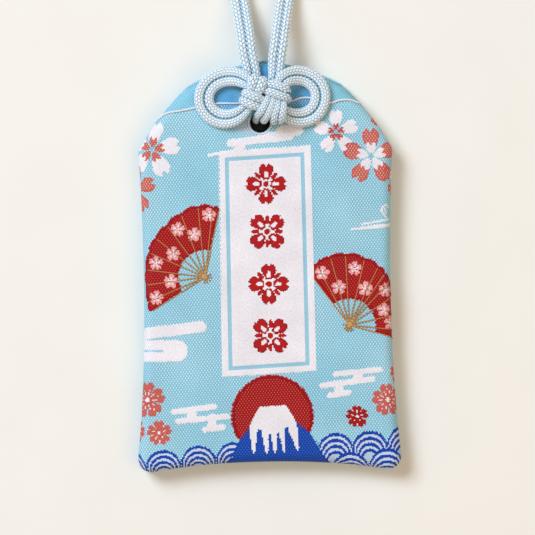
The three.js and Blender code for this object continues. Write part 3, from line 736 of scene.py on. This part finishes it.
SEAM_HALF = 0.03  # half the gap between the two faces at the seam
FRONT_CROWN = 0.45  # how much higher the front stands in its middle than at its edge
FRONT = Cover(0, FRONT_RIM_R, EDGE_THICK, True, SEAM_Z + SEAM_HALF, FRONT_CROWN)
BACK = Cover(BACK_LIP, BACK_RIM_R, 0.0, False, SEAM_Z - SEAM_HALF, 0.0)
WEFT_SLOPE = math.tan(math.radians(2.9))  # the weft rises to the right
WARP_SLOPE = math.tan(math.radians(0.4))  # the warp leans to the left
WARP_FAN = 0.0005  # and draws together upwards, so much each millimetre


# The woven picture. Its places and sizes are the photograph's pixels.
YARNS = {  # yarn, its binding dots, and how far the floats stand proud
    # the deeper blue azure entry is no yarn: it is painted shade laid on the ground near the knot
    "sky": ("80C6E1", "D9F0F8", 0.0), "painted_shade_azure": ("4E9FD6", "A9D6F0", 0.0),
    "white": ("ECEDF6", "CFCBDA", 0.06), "red": ("A00B10", "DF8A83", 0.06),
    "crimson": ("B2181D", "D67D76", 0.09), "maroon": ("86131A", "A4141A", 0.06),
    "coral": ("B8453F", "F4C2BA", 0.06), "salmon": ("C56058", "F4C2BA", 0.06),
    "pink": ("E9A6A8", "F8DCDC", 0.07), "royal": ("0A45AE", "94BCF4", 0.06),
    "pale": ("B4CFE8", "D9E6F5", 0.03), "mist": ("C9D9F1", "BFD2E8", 0.04),
    "line": ("97CCE3", "DFF2F9", 0.0),
}
EDGE_STEP_PX = 0.8  # how far an edge steps in and out with the dots
SUN_PX = (272.4, 416.0, 41.3)  # middle and radius
PANEL_PX = [(219.0, 151.6), (310.3, 145.6), (316.0, 371.0), (222.7, 377.1)]
FRAME_PX = (6.3, 9.9)  # inset of the panel's fine blue line, outer and inner edge
ORNAMENTS_PX = [(266.0, 184.0), (267.2, 231.5), (268.8, 284.0), (270.4, 335.5)]
CLOUDS_PX = [  # ends and half thickness of each bar
    (174, 411.8, 215, 406.6, 2.8), (193, 411, 190.5, 419, 4.2), (178, 421.3, 228, 416.3, 2.8),
    (213, 418, 211, 427, 4.5), (205, 429.6, 223, 427, 2.9),
    (336, 373.8, 380, 369.6, 2.8), (360, 373, 357, 379, 4.2), (322.5, 385.6, 373, 378.9, 2.9),
    (339.5, 385, 338.5, 392, 4.4), (329.5, 395.4, 348.5, 392.7, 2.7),
    (140, 334.3, 201, 326.7, 5.7), (138, 351.3, 177, 350.8, 10.8),
    (231, 143.2, 262, 139.2, 4.0), (262, 138.6, 289, 135.0, 5.2), (283, 131.5, 297, 129.5, 6.2),
    (241, 146, 237, 152, 4.6), (209, 155.4, 236, 150.5, 1.4),
    (351.5, 229.2, 368, 227.8, 1.0), (362, 228.2, 391, 225.0, 1.7), (362, 224.3, 391, 219.0, 0.9),
    (388.5, 220, 381.6, 211, 0.8), (381.6, 211, 382.0, 207.3, 0.8), (382.0, 207.3, 386.8, 204.4, 0.8),
    (386.8, 204.4, 389.3, 208, 0.8), (385.2, 208.5, 386.3, 213.5, 0.8),
]
SLIT_PX = (150, 351, 13, 0.6)  # sky in the lower cloud at the left: middle, half width and height
FLOWERS_PX = [  # x, y, radius, turn in degrees, yarn, yarn of the inner marks, radius of the marks
    (151.9, 149.6, 29, 10, "white", "salmon", 13.5), (131, 190, 25.5, 18, "salmon", "white", 8),
    (336.1, 132.1, 23, 20, "white", "coral", 9.5), (371.2, 156.4, 29, 20, "salmon", "white", 15.5),
    (402, 177, 20, 20, "salmon", "white", 12), (384, 112, 16, 9, "salmon", "white", 4),
]
BLOSSOMS_PX = [  # fuller blossoms with fine stamens: x, y, radius, turn, yarn
    (146.9, 400, 18.5, 20, "salmon"), (159.3, 432.9, 12.8, 20, "salmon"),
    (132.5, 431, 12.5, -5, "salmon"), (387.9, 399.6, 16.5, 24, "salmon"),
    (357.2, 416.4, 11.4, 20, "red"), (402.5, 372, 12, 30, "salmon"),
]
FANS_PX = [  # pivot, inner radius, outer radius by angle, angles of the ribs, blossoms
    ((205.0, 276.9), 26.5,
     ((76, 71.0), (95.7, 72.4), (111, 69.0), (127, 65.5), (143, 64.2), (163, 61.8), (174, 61.8),
      (191, 62), (214, 65.5)),
     (78, 83.5, 95.7, 111, 126.6, 142, 156.7, 173.3, 188, 204, 213),
     ((208.8, 215), (177.8, 229.4), (194, 234.4), (173.1, 253.8), (155.9, 263.1), (171, 281.3),
      (156.3, 297.8))),
    ((349.3, 325.0), 26.2,
     ((-16, 62), (10, 62), (50, 63), (65, 67.4), (77.6, 69.9), (93, 72.2), (105, 72.6), (121, 70.4),
      (128, 70)),
     (-15.5, -5.8, 12.4, 33, 47, 55.2, 63.5, 77, 93.2, 105.6, 118.5, 127.5),
     ((322.4, 273.1), (354.6, 268.3), (338.9, 287.1), (365.3, 288.6), (385.7, 290), (384, 309.7),
      (391.4, 322.9))),
]
WAVES_PX = [  # how far each ring inside shrinks and drops, and x, top and radius of the waves
    (3.3, 2.1, ((128.9, 452.5, 17.6), (163.7, 450.0, 17.6), (198.7, 445.6, 17.6), (233.8, 442.2, 17.8))),
    (2.75, 3.2, ((335.9, 432.7, 17.4), (370.2, 430.7, 17.4), (404.6, 426.5, 17.4), (350.9, 452.0, 18.0),
                 (387.6, 448.3, 18.6), (422, 444, 18))),
]
PEAK_LEFT_PX = ((407, 259.6), (416.7, 253.8), (426.7, 249.6), (440, 240.0), (449.2, 234.2),
                (463.3, 229.5), (480, 220.0))  # y, x down the left slope
PEAK_RIGHT_PX = ((405.2, 285.8), (422, 296.0), (432, 309.2), (445, 318.3), (461.7, 327.9),
                 (480, 339.0))
SNOW_PX = (
    (259.6, 406), (285.8, 404), (290.5, 412.5), (296.3, 422.5), (297.6, 430), (298.2, 436),
    (298.6, 442), (299.0, 447.5), (297.7, 450.8), (295.2, 446.7), (293.6, 441.7), (291.4, 437.5),
    (289.8, 433.3), (288.1, 429.6), (287.9, 427.3), (286, 426.8), (284.8, 428.7), (285.1, 438),
    (285.3, 443.5), (285.6, 449), (284.3, 452.2), (283.0, 450), (282.1, 446.7), (281.3, 441.7),
    (279.8, 438.3), (279.4, 434), (279, 432.8), (277.2, 433), (277.2, 437), (277, 443), (276.6, 449),
    (275.2, 453.6), (273.1, 449), (272.6, 443), (271.4, 440), (271.1, 435), (270.8, 433.8),
    (268.8, 433.8), (268.3, 438), (268.6, 443), (268.3, 450), (266.7, 454.4), (265.1, 450),
    (264.2, 446), (263.8, 440), (262.6, 436.7), (261.5, 431), (261.0, 429.4), (258.0, 429.2),
    (256.8, 433), (256.6, 439), (255.7, 444.2), (255.8, 450), (253.2, 454.4), (251.8, 449),
    (251.4, 442.5), (250, 436.7), (249.2, 427), (253, 416.7))
GROUND_DOTS = 0.79  # strength of the dots on the plain ground
DOTS_DRAPE_LIGHT = 0.08  # painted light: in broad patches the dots dim, shrinking to specks, and brighten again, as on draped cloth catching the light
DRAPE_LIGHT_PX = ((0.06, 0.025, 0.5), (-0.034, 0.052, 2.0))
ABOVE_HEM = 0.45  # dots above the hem thread, as a share of those below
PAINTED_SHADE_AND_LIGHT_PX = [  # painted shade and light on the ground: deeper blue inside the cord's ears and at the mouth under the knot, and a paler halo left of the hole. x, y, reach across and down, colour, and its share of the ground: middle, fall, most
    (224, 98, 16, 13, "painted_shade_azure", 1.6, 1.3, 0.85), (300, 97.5, 16, 13, "painted_shade_azure", 1.6, 1.3, 0.85),
    (262.5, 68, 11, 16, "painted_shade_azure", 1.6, 1.3, 0.85), (247.0, 128.5, 13.0, 7.5, "pale", 1.5, 1.4, 0.8),
]
HEM_PX = [(150, 118.5), (158, 116.2), (164.2, 113.7), (180, 110.8), (194.2, 108), (206, 105.2),
          (218, 103.5), (235.6, 103.5), (262, 103), (280, 102.5), (292.5, 100.6), (301, 98), (311, 98),
          (322, 101), (332, 102.6), (339.3, 100.3), (347.9, 99.9), (353.5, 100.8), (359, 102.2)]
FINE_PX = 2  # half thickness up to which a cloud's bar is a fine line
HEART_PX = 1.6
FINE_LINE_PX = 0.35  # half width of the dark line inside the edge of the sun and the fans
SUN_LINE_PX, FAN_LINE_PX = 3.1, 2.9  # its inset
SMALL_PX = 14  # radius up to which a blossom is small
BLOSSOM_CORE = 0.4  # radius of the full middle, as a share of the blossom's
LONG_STAMENS = (0.45, 0.3, 0.55)  # half width, and the ends as shares of the radius
SHORT_STAMENS = (0.42, 0.6, 0.7)
STAMEN_HEART, STAMEN_HEART_PX = 0.13, 1.5  # radius as a share of the blossom's, at least so large
WAVE_BAND = 0.56  # the blue's share of each ring
BAND_STEP = 0.05  # how far its edge steps, as a share of the ring
WAVE_HEART = 3.6  # rings outside the wave's pale heart
SUMMIT_PX, SUMMIT_RISE = (259, 406.8), 0.067  # left end of the summit, and its rise to the right
SLOPE_NEAR = 0.85  # distance to a slope, as a share of that along the row
FOLD_PX, FOLD_IN_PX = 2.0, 1.1  # how far a fold's edge bows out, from so far in at its ribs
FAN_BLOSSOM_PX, FAN_MARKS_PX, FAN_HEART_PX = 7.4, 4.4, 1.0
FAN_BLOSSOM_TURN = 85
FAN_BACK = 60  # degrees below the right where no fan spreads
PETALS_PX, MARKS_PX, TIPS_PX = 20.5, 13.0, 16.0  # radii in the panel's lozenges
WHITE_EYE_PX, RED_EYE_PX = 4.6, 3.0
SHADE_BORDER_PX = 0.9  # width of the petals' dark border, painted shade that gives their raised edges depth
PETAL = ((0, 0.12, 0.3, 0.5, 0.68, 0.82, 0.93, 1.0), (0, 0.07, 0.25, 0.41, 0.5, 0.46, 0.33, 0.14))


def petals(dx, dy, radius, turn, count=5, width=0.6, notch=0.1, start=0.1):
    """Signed distance, roughly, to notched petals round a middle. Width is a share of the radius."""
    distance, angle = np.hypot(dx, dy), np.arctan2(-dy, dx)
    sector = math.tau / count
    bent = (angle - math.radians(turn) + sector / 2) % sector - sector / 2
    share = distance * np.cos(bent) / radius
    across = np.abs(distance * np.sin(bent)) / radius
    half = width * np.interp(share, *PETAL)
    cut = np.where(share > 1 - notch, (share - 1 + notch) * 0.72 - across, -1)
    return np.maximum(np.maximum(across - half, share - 1), np.maximum(start - share, cut)) * radius


def bar(px, py, x0, y0, x1, y1, radius):
    """Signed distance to a line with round ends."""
    run, rise = x1 - x0, y1 - y0
    share = np.clip(((px - x0) * run + (py - y0) * rise) / max(run * run + rise * rise, 1e-9), 0, 1)
    return np.hypot(px - x0 - share * run, py - y0 - share * rise) - radius


class Picture:
    """The yarn of every stitch, painted as the loom's pattern card sets it."""

    def __init__(self, flat):
        self.x, self.y = in_photo(flat)
        plus = flat[:, 0] / DOT_STEP + flat[:, 1] / (2 * DOT_ROW)
        minus = flat[:, 0] / DOT_STEP - flat[:, 1] / (2 * DOT_ROW)
        self.step = EDGE_STEP_PX / 2 * (np.cos(math.tau * plus) + np.cos(math.tau * minus))
        count = len(flat)
        self.yarn, self.binder = (np.tile(srgb(code), (count, 1)) for code in YARNS["sky"][:2])
        self.proud = np.zeros(count)
        # painted light: broad patches where the dots brighten and dim
        self.dots = GROUND_DOTS + DOTS_DRAPE_LIGHT * waver(self.x, self.y, DRAPE_LIGHT_PX)

    def off(self, cx, cy):
        return self.x - cx, self.y - cy

    def paint(self, reach, name, border=0.0, dots=0.0, stepped=0.0):
        """Weaves a yarn where reach is below nothing, plain along a border of that width. Its edge
        may step with the dot lattice."""
        where = reach < self.step * stepped
        colour, binder, proud = YARNS[name]
        self.yarn[where], self.binder[where], self.proud[where] = srgb(colour), srgb(binder), proud
        self.dots[where] = dots
        if border:
            self.dots[where & (reach > -border)] = 0

    def paint_light_and_shade(self, share, name):
        """Painted light and shade: part of the way to another colour, on the ground alone."""
        share = (share * (self.proud == 0))[:, None]
        for made, code in zip((self.yarn, self.binder), YARNS[name]):
            made += (srgb(code) - made) * share


def weave_picture(flat):
    made = Picture(flat)
    x, y = made.x, made.y
    # painted shade inside the ears and under the knot, and a paler halo of painted light by the hole
    for cx, cy, rx, ry, name, share, fall, most in PAINTED_SHADE_AND_LIGHT_PX:
        made.paint_light_and_shade(np.clip(share - np.hypot((x - cx) / rx, (y - cy) / ry) * fall, 0, most), name)
    made.dots *= np.where(y < read_off(HEM_PX, x) - 1, ABOVE_HEM, 1)
    for cloud in CLOUDS_PX:
        made.paint(bar(x, y, *cloud), "white", dots=0.25, stepped=0.8 if cloud[4] > FINE_PX else 0.3)
    cx, cy, wide, high = SLIT_PX
    made.paint(np.maximum(abs(y - cy) - high, abs(x - cx) - wide), "sky", stepped=1.0)
    for cx, cy, radius, turn, name, marks, mark_radius in FLOWERS_PX:
        off = made.off(cx, cy)
        made.paint(petals(*off, radius, turn, notch=0.17), name, border=1.6,
                   dots=0.15 if name == "white" else 0.65, stepped=0.45)
        made.paint(petals(*off, mark_radius, turn, width=0.66, notch=0.3, start=0.2), marks, dots=0.5,
                   stepped=0.15)
        made.paint(np.hypot(*off) - HEART_PX, "sky")
    for cx, cy, radius, turn, name in BLOSSOMS_PX:
        off = made.off(cx, cy)
        made.paint(petals(*off, radius, turn, width=0.84, notch=0.2, start=-1), name, dots=0.3,
                   stepped=0.3)
        made.paint(np.hypot(*off) - radius * BLOSSOM_CORE, name, dots=0.2)
        stamens(made, off, radius, turn)
    for shrink, drop, waves in WAVES_PX:
        for wave in waves:
            paint_wave(made, *wave, shrink, drop)
    cx, cy, radius = SUN_PX
    reach = np.hypot(x - cx, y - cy) - radius
    made.paint(reach, "red", border=2.8, dots=0.45, stepped=1.0)
    made.paint(abs(reach + SUN_LINE_PX) - FINE_LINE_PX, "maroon")
    paint_peak(made)
    for fan in FANS_PX:
        paint_fan(made, *fan)
    paint_panel(made)
    return made


def stamens(made, off, radius, turn):
    """White streaks between the petals and over them, those over them of a stitch or two, and a white
    heart. A small blossom has half as many long ones, over its petals."""
    distance, angle = np.hypot(*off), np.degrees(np.arctan2(-off[1], off[0])) - turn
    small = radius < SMALL_PX
    long, short = ((72, 36), (72, 0)) if small else ((36, 0), (72, 36))  # angle apart, first
    for apart, first, wide, near, far in ((*long, *LONG_STAMENS), (*short, *SHORT_STAMENS)):
        aside = abs((angle + first) % apart - apart / 2) * (math.pi / 180 * distance)
        reach = np.maximum(radius * near - distance, distance - radius * far)
        made.paint(np.maximum(aside - wide, reach), "white")
    made.paint(distance - max(radius * STAMEN_HEART, STAMEN_HEART_PX), "white")


def paint_wave(made, cx, top, radius, shrink, drop):
    """Nested arches: each ring inside is smaller and its middle lies lower."""
    dx, dy = made.off(cx, top + radius)
    a = drop * drop - shrink * shrink
    b = 2 * (shrink * radius - drop * dy)
    c = dx * dx + dy * dy - radius * radius
    ring = np.where(c < 0, 2 * c / -(b + np.sqrt(np.maximum(b * b - 4 * a * c, 0))), 0)
    legs = np.where(dy > 0, np.abs(dx) - radius, -1e3)
    reach = np.maximum(np.hypot(dx, np.minimum(dy, 0)) - radius, legs)
    made.paint(reach, "royal", stepped=0.9)
    inner = (ring + made.step * BAND_STEP) % 1
    made.paint(np.where((reach < 0) & (inner > WAVE_BAND), -1, 1), "mist", dots=0.1)
    made.paint(np.where((reach < 0) & (ring > WAVE_HEART), -1, 1), "pale", dots=0.3)


def paint_peak(made):
    x, y = made.x, made.y
    left, right = read_off(PEAK_LEFT_PX, y), read_off(PEAK_RIGHT_PX, y)
    summit = SUMMIT_PX[1] - (x - SUMMIT_PX[0]) * SUMMIT_RISE - y
    reach = np.maximum(np.maximum(left - x, x - right) * SLOPE_NEAR, summit)
    made.paint(reach, "royal", border=1.4, dots=0.3, stepped=1.0)
    _, depth = nearest(np.column_stack([x, y]), np.array(SNOW_PX))
    made.paint(np.maximum(reach, -depth), "white", dots=0.15, stepped=0.45)


def paint_fan(made, pivot, inner, outer, ribs, blossoms):
    dx, dy = made.off(*pivot)
    distance = np.hypot(dx, dy)
    angle = (np.degrees(np.arctan2(-dy, dx)) + FAN_BACK) % 360 - FAN_BACK
    fold = np.interp(angle, ribs, range(len(ribs))) % 1
    reach_out = read_off(outer, angle) + FOLD_PX * np.sin(math.pi * fold) - FOLD_IN_PX
    span = np.maximum(min(ribs) - angle, angle - max(ribs)) * math.pi / 180 * distance
    reach = np.maximum(np.maximum(inner - distance, distance - reach_out), span)
    made.paint(reach, "red", border=2.6, dots=0.37, stepped=0.8)
    line = abs(distance - reach_out + FAN_LINE_PX) - FINE_LINE_PX
    made.paint(np.where(reach < 0, line, 1), "maroon")
    for blossom in blossoms:
        off = made.off(*blossom)
        made.paint(petals(*off, FAN_BLOSSOM_PX, FAN_BLOSSOM_TURN, width=0.74, notch=0.16, start=-1),
                   "pink")
        made.paint(petals(*off, FAN_MARKS_PX, FAN_BLOSSOM_TURN, width=0.34, start=0.3), "white")
        made.paint(np.hypot(*off) - FAN_HEART_PX, "white")


def paint_panel(made):
    """The white panel in its fine frame, with four flower lozenges of the weaver's own stock."""
    x, y = made.x, made.y
    depth = np.full(len(x), np.inf)
    corners = np.array(PANEL_PX)
    for (cx, cy), (run, rise) in zip(corners, unit(np.roll(corners, -1, 0) - corners)):
        depth = np.minimum(depth, (y - cy) * run - (x - cx) * rise)
    made.paint(-depth, "white", dots=0.15, stepped=0.3)
    made.paint(np.maximum(FRAME_PX[0] - depth, depth - FRAME_PX[1]), "line")
    for number, ornament in enumerate(ORNAMENTS_PX):
        turn = 45 if number % 2 else 0
        off = made.off(*ornament)
        petal = petals(*off, PETALS_PX, turn, count=4, width=0.74, notch=0.14, start=0.2)
        # a dark maroon border of painted shade round a lighter crimson middle
        made.paint(petal, "maroon", stepped=0.45)
        made.paint(petal + SHADE_BORDER_PX, "crimson", stepped=0.45)
        made.paint(petals(*off, MARKS_PX, turn, count=4, width=0.3, notch=0, start=0.5), "white",
                   stepped=0.1)
        made.paint(petals(*off, TIPS_PX, turn + 45, count=4, width=0.26, notch=0, start=0.48),
                   "crimson", stepped=0.3)
        made.paint(np.hypot(*off) - WHITE_EYE_PX, "white")
        made.paint(np.hypot(*off) - RED_EYE_PX, "crimson")


def woven_grid(cover, cell, hole):
    """A flat sheet of one face to a stitch, its rows along the weft, cut where the cloth ends."""
    half = np.array([HALF_FOOT, (MOUTH_Y - FOOT_Y) / 2]) + cover.reach
    middle = np.array([0, (MOUTH_Y + FOOT_Y) / 2])
    half[1] += half[0] * WEFT_SLOPE
    counts = [int(math.ceil(2 * h / c)) for h, c in zip(half, cell)]
    bm = bmesh.new()
    bmesh.ops.create_grid(bm, x_segments=counts[0], y_segments=counts[1], size=1)
    for vert in bm.verts:
        x, y = vert.co.x * half[0], vert.co.y * half[1]
        vert.co = (middle[0] + x - y * (WARP_SLOPE + x * WARP_FAN), middle[1] + y + x * WEFT_SLOPE, 0)
    flat = np.array([vert.co[:2] for vert in bm.verts])
    _, depth = nearest(flat, cover.line)
    lost = depth < -cover.reach
    if hole:
        lost |= np.linalg.norm(flat - HOLE, axis=1) < HOLE_R
    bm.verts.index_update()
    gone = [face for face in bm.faces if all(lost[vert.index] for vert in face.verts)]
    bmesh.ops.delete(bm, geom=gone, context="FACES")
    sheet = bpy.data.meshes.new("sheet")  # a fresh copy, where new faces come after the woven ones
    bm.to_mesh(sheet)
    bm.free()
    bm = bmesh.new()
    bm.from_mesh(sheet)
    bpy.data.meshes.remove(sheet)
    bm.verts.index_update()
    return bm


def to_rim(flat):
    """The cloth's places drawn out of the hole to its rim."""
    off = flat - HOLE
    distance = np.linalg.norm(off, axis=1)
    close = distance < HOLE_R
    flat[close] = HOLE + off[close] * (HOLE_R / np.maximum(distance[close], 1e-6))[:, None]


TURNED_IN, PAINTED_SHADE_INSIDE = "7DBCD8", "1B2026"  # colours of the cloth past the seam, and of the inner wall, near black with painted shade so the hole reads dark


def cloth_face(name, cover, cell, hole, picture, node_name):
    """One face of the pouch as a closed shell: the woven outside and a plain inside, near black with
    painted shade.
    """
    bm = woven_grid(cover, cell, hole)
    flat = np.array([vert.co[:2] for vert in bm.verts])
    centres = np.array([face.calc_center_median()[:2] for face in bm.faces])
    corners = np.array([[vert.index for vert in face.verts] for face in bm.faces])
    woven = picture(centres)
    proud, shares = np.zeros((2, len(flat)))
    np.add.at(proud, corners, woven.proud[:, None])
    np.add.at(shares, corners, 1)
    if hole:
        to_rim(flat)
    places, _ = cover.place(flat)
    places[:, 2] -= cover.sign * proud / shares
    if hole:
        distance = np.linalg.norm(flat - HOLE, axis=1)
        places[:, 2] -= RIM_DIP * np.exp(-((distance - HOLE_R) / RIM_WIDE) ** 2)
    for vert, place in zip(bm.verts, places):
        vert.co = place
    hem = close_inside(bm, cover, hole)
    added = len(bm.faces) - len(corners)
    mesh_flat = np.array([vert.co[:2] for vert in bm.verts])
    mesh_flat[:len(flat)] = flat
    for vert in bm.verts:
        vert.co = metres(vert.co)
    made = finished(bm, name, BROCADE, "pouch")
    mesh = made.data
    # the inside is near black, painted shade; the turned-in cloth past the seam keeps the ground's blue
    inside = np.tile(srgb(PAINTED_SHADE_INSIDE), (added, 1))
    inside[:hem] = srgb(TURNED_IN)
    set_layer(mesh, "yarn", "FLOAT_COLOR", "color", np.vstack([woven.yarn, inside]))
    set_layer(mesh, "binder", "FLOAT_COLOR", "color", np.vstack([woven.binder, inside]))
    set_layer(mesh, "dots", "FLOAT", "value", np.append(woven.dots, np.zeros(added)))
    loops = np.empty(len(mesh.loops), int)
    mesh.loops.foreach_get("vertex_index", loops)
    layer = mesh.uv_layers.new(name="weave")
    layer.data.foreach_set("uv", (mesh_flat[loops] @ unskewed()).ravel())
    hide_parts(node_name)
    return made


def unskewed():
    """Turns a place on the cloth into counts along the weft and the warp."""
    rows = np.array([[1, -WARP_SLOPE], [WEFT_SLOPE, 1]])
    return np.linalg.inv(rows).T


def set_layer(mesh, name, kind, field, values):
    layer = mesh.attributes.new(name, kind, "FACE")
    layer.data.foreach_set(field, np.asarray(values, np.float32).ravel())


NEAR_HOLE = 0.5
SEAM_IN, WALL_IN, LINING_IN = 0.25, 0.1, 2.6  # steps inwards: at the seam, up the wall, under the face


def close_inside(bm, cover, hole):
    """Turns the cloth in at the seam and closes the shell with a plain inner wall. Returns how many
    faces the turned-in cloth has."""
    inner_z = cover.face_z + cover.sign * CLOTH
    woven = len(bm.faces)
    edges = [edge for edge in bm.edges if edge.is_boundary]
    at_hole = [e for e in edges if hole and math.dist(e.verts[0].co[:2], HOLE) < HOLE_R + NEAR_HOLE]
    at_seam = list(set(edges) - set(at_hole))
    for inset, high in ((SEAM_IN, None), (WALL_IN, inner_z), (LINING_IN, inner_z)):
        grown = bmesh.ops.extrude_edge_only(bm, edges=at_seam)["geom"]
        verts, at_seam = of_kind(bmesh.types.BMVert, grown), of_kind(bmesh.types.BMEdge, grown)
        foot, depth = nearest(np.array([v.co[:2] for v in verts]), cover.line)
        for vert, place, deep in zip(verts, foot, depth):
            away = (np.array(vert.co[:2]) - place) / max(abs(deep), 1e-9)
            xy = place + away * (abs(deep) - inset)
            vert.co = (*xy, vert.co.z if high is None else high)
    hem = len(bm.faces) - woven
    if at_hole:
        grown = bmesh.ops.extrude_edge_only(bm, edges=at_hole)["geom"]
        at_hole = of_kind(bmesh.types.BMEdge, grown)
        for vert in of_kind(bmesh.types.BMVert, grown):
            vert.co.z = inner_z
    bmesh.ops.triangle_fill(bm, edges=at_seam + at_hole, use_beauty=False)
    return hem


STITCH = (0.25, 0.185)  # one stitch of the picture
BACK_STITCH = (DOT_STEP, DOT_ROW)
RIM_DIP, RIM_WIDE = 0.3, 0.35  # the cloth dips at the punched hole's rim


def add_pouch():
    for name, *face in (("brocade_front", FRONT, STITCH, True, weave_picture, "front_panel"),
                        ("brocade_back", BACK, BACK_STITCH, False, Picture, "back_panel")):
        cloth_face(name, *face)


def on_front(pixels, step, lift):
    """A line drawn in the photograph, laid on the front cloth."""
    flat = on_pouch(pixels)
    path = smooth_path(np.column_stack([flat, np.zeros(len(flat))]), step)
    return FRONT.place(path[:, :2], lift)[0]


HEM_D, HEM_PITCH, HEM_LIFT = 0.44, 0.95, 0.176
RING_D, RING_PITCH, RING_R, RING_LIFT = 0.3, 0.7, 2.2, 0.06
RING_TURN = (150, 400)  # the thread ring's ends overlap
THREAD_STEP = 0.2
RIB_ENDS_PX = {127.5: 57, 118.5: 70, 12.4: 52, -5.8: 50, -15.5: 50}  # angle, and reach from the pivot
RIB_INSET_PX = 3.5
RIB_TAIL_PX, RIB_STAND_PX = 6.5, 12.0  # every other rib runs on past the pivot
RIB_D = 0.24
BARE_RIB = (RIB_D * 1.35, RIB_D / 3, 1.3)  # its thread's diameter, lift and pitch below the red,
RED_RIB = (RIB_D * 0.8, RIB_D / 4, 1.1)  # and on the red


def add_threads():
    bm, layer = new_bmesh()
    twisted(bm, layer, on_front(HEM_PX, THREAD_STEP, HEM_LIFT), HEM_D, HEM_PITCH)
    around = np.linspace(*np.radians(RING_TURN), 40)
    ring = HOLE + RING_R * np.stack([np.cos(around), np.sin(around)], -1)
    twisted(bm, layer, FRONT.place(ring, RING_LIFT)[0], RING_D, RING_PITCH)
    hem = finished(bm, "hem_thread", WHITE_THREAD, "pouch")
    for side, (pivot, inner, outer, ribs, _) in zip(("left", "right"), FANS_PX):
        bm, layer = new_bmesh()
        for number, rib in enumerate(ribs):
            direction = np.array([math.cos(math.radians(rib)), -math.sin(math.radians(rib))])
            reach = min(read_off(outer, rib) - RIB_INSET_PX, RIB_ENDS_PX.get(rib, math.inf))
            bare = (-RIB_TAIL_PX * (number % 2), RIB_STAND_PX, inner)
            on_red = (inner, reach * 0.75, reach)
            for stops, (diameter, lift, pitch) in ((bare, BARE_RIB), (on_red, RED_RIB)):
                line = [pivot + direction * stop for stop in stops]
                twisted(bm, layer, on_front(line, THREAD_STEP / 2, lift), diameter, pitch)
        made = finished(bm, f"fan_ribs_{side}", GOLD_THREAD, "pouch")


# Pieces inside, seen only through the hole or when the part is taken apart
INSIDE = {"stopper_knot": BRAID}
for place in ("left", "right"):  # the ground's sky blue with a soft grain of floats
    INSIDE[f"corner_tuck_{place}"] = grained(
        f"brocade turned in, {place}", "5FA9C9", "86C6E0", 1.1, 0.7)
for place in ("front", "back"):  # matted fibres, black and without lustre
    INSIDE[f"interlining_{place}"] = grained(
        f"black non-woven interlining, {place}", "14171B", "23272D", 0.65, 0.9)
INSIDE.update({  # matt pressed pulp; smooth with a long straight grain; clouded long fibres
    "stiffener_card": grained("grey-brown board", "A8926C", "C9B18A", 0.85, 0.85),
    "tablet": grained("planed cypress", "C79F69", "E3C795", 6.0, 0.6, (1, 0.06, 1)),
    "tablet_wrap": grained("white washi paper", "EAE4D6", "FAF7F0", 1.4, 0.85),
})


FELT_R, FELT_Z, FELT_THICK = 2.6, 4.28, 0.2


def add_shade_backing():
    """Black felt behind the hole, pierced by the cords, put there as painted shade: matted fibres
    without lustre, so the hole shows dark."""
    bm = bmesh.new()
    made = bmesh.ops.create_circle(bm, segments=40, radius=FELT_R, cap_ends=True)
    for vert in made["verts"]:
        vert.co = metres((HOLE[0] + vert.co.x, HOLE[1] + vert.co.y, FELT_Z))
    grown = bmesh.ops.extrude_face_region(bm, geom=bm.faces[:])["geom"]
    bmesh.ops.translate(bm, vec=(0, 0, FELT_THICK * MM), verts=of_kind(bmesh.types.BMVert, grown))
    # the black felt is a dark sheet of painted shade
    felt = finished(bm, "painted_shade_backing", grained("black felt", "0C0D0F", "2A2D31", 0.55, 0.95), "pouch")


def dress_inside():
    for name, finish in INSIDE.items():
        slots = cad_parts[name].data.materials
        slots.clear()
        slots.append(finish)


# Stage ----------------------------------------------------------------------------------------

FLOOR_HALF, FLOOR_GAP = 900.0, 0.02
LAMPS = [  # a cool key from the upper left and a warm fill: name, place, size, power, colour
    ("key", (-700, 640, 1050), 640, 14.1, (0.915, 1.075, 1.255)),
    ("fill", (500, -330, 1100), 900, 4.0, (1.0, 0.865, 0.735)),
]


def add_stage():
    bm = bmesh.new()
    bmesh.ops.create_grid(bm, x_segments=1, y_segments=1, size=FLOOR_HALF * MM)
    mesh = bpy.data.meshes.new("floor")
    bm.to_mesh(mesh)
    bm.free()
    # smooth matt paper, its tone hardly uneven
    mesh.materials.append(grained("cream paper", "EDEFEA", "F3F5F1", 16.7, 0.9))
    floor = in_scene("floor", mesh)
    floor.location.z = -FLOOR_GAP * MM
    world = bpy.data.worlds.new("studio")
    world.use_nodes = True
    light = world.node_tree.nodes["Background"].inputs
    light["Color"].default_value, light["Strength"].default_value = srgb("FFD9B1"), 0.4
    bpy.context.scene.world = world
    for name, place, size, power, colour in LAMPS:
        data = bpy.data.lights.new(name, "AREA")
        data.color = colour
        data.size = size * MM
        data.energy = power
        lamp = in_scene(name, data)
        lamp.location = Vector(place) * MM
        lamp.rotation_euler = (-lamp.location).to_track_quat("-Z", "Y").to_euler()
    bpy.context.scene.view_settings.view_transform = "Standard"


add_pouch()
add_threads()
add_shade_backing()
dress_inside()
add_stage()
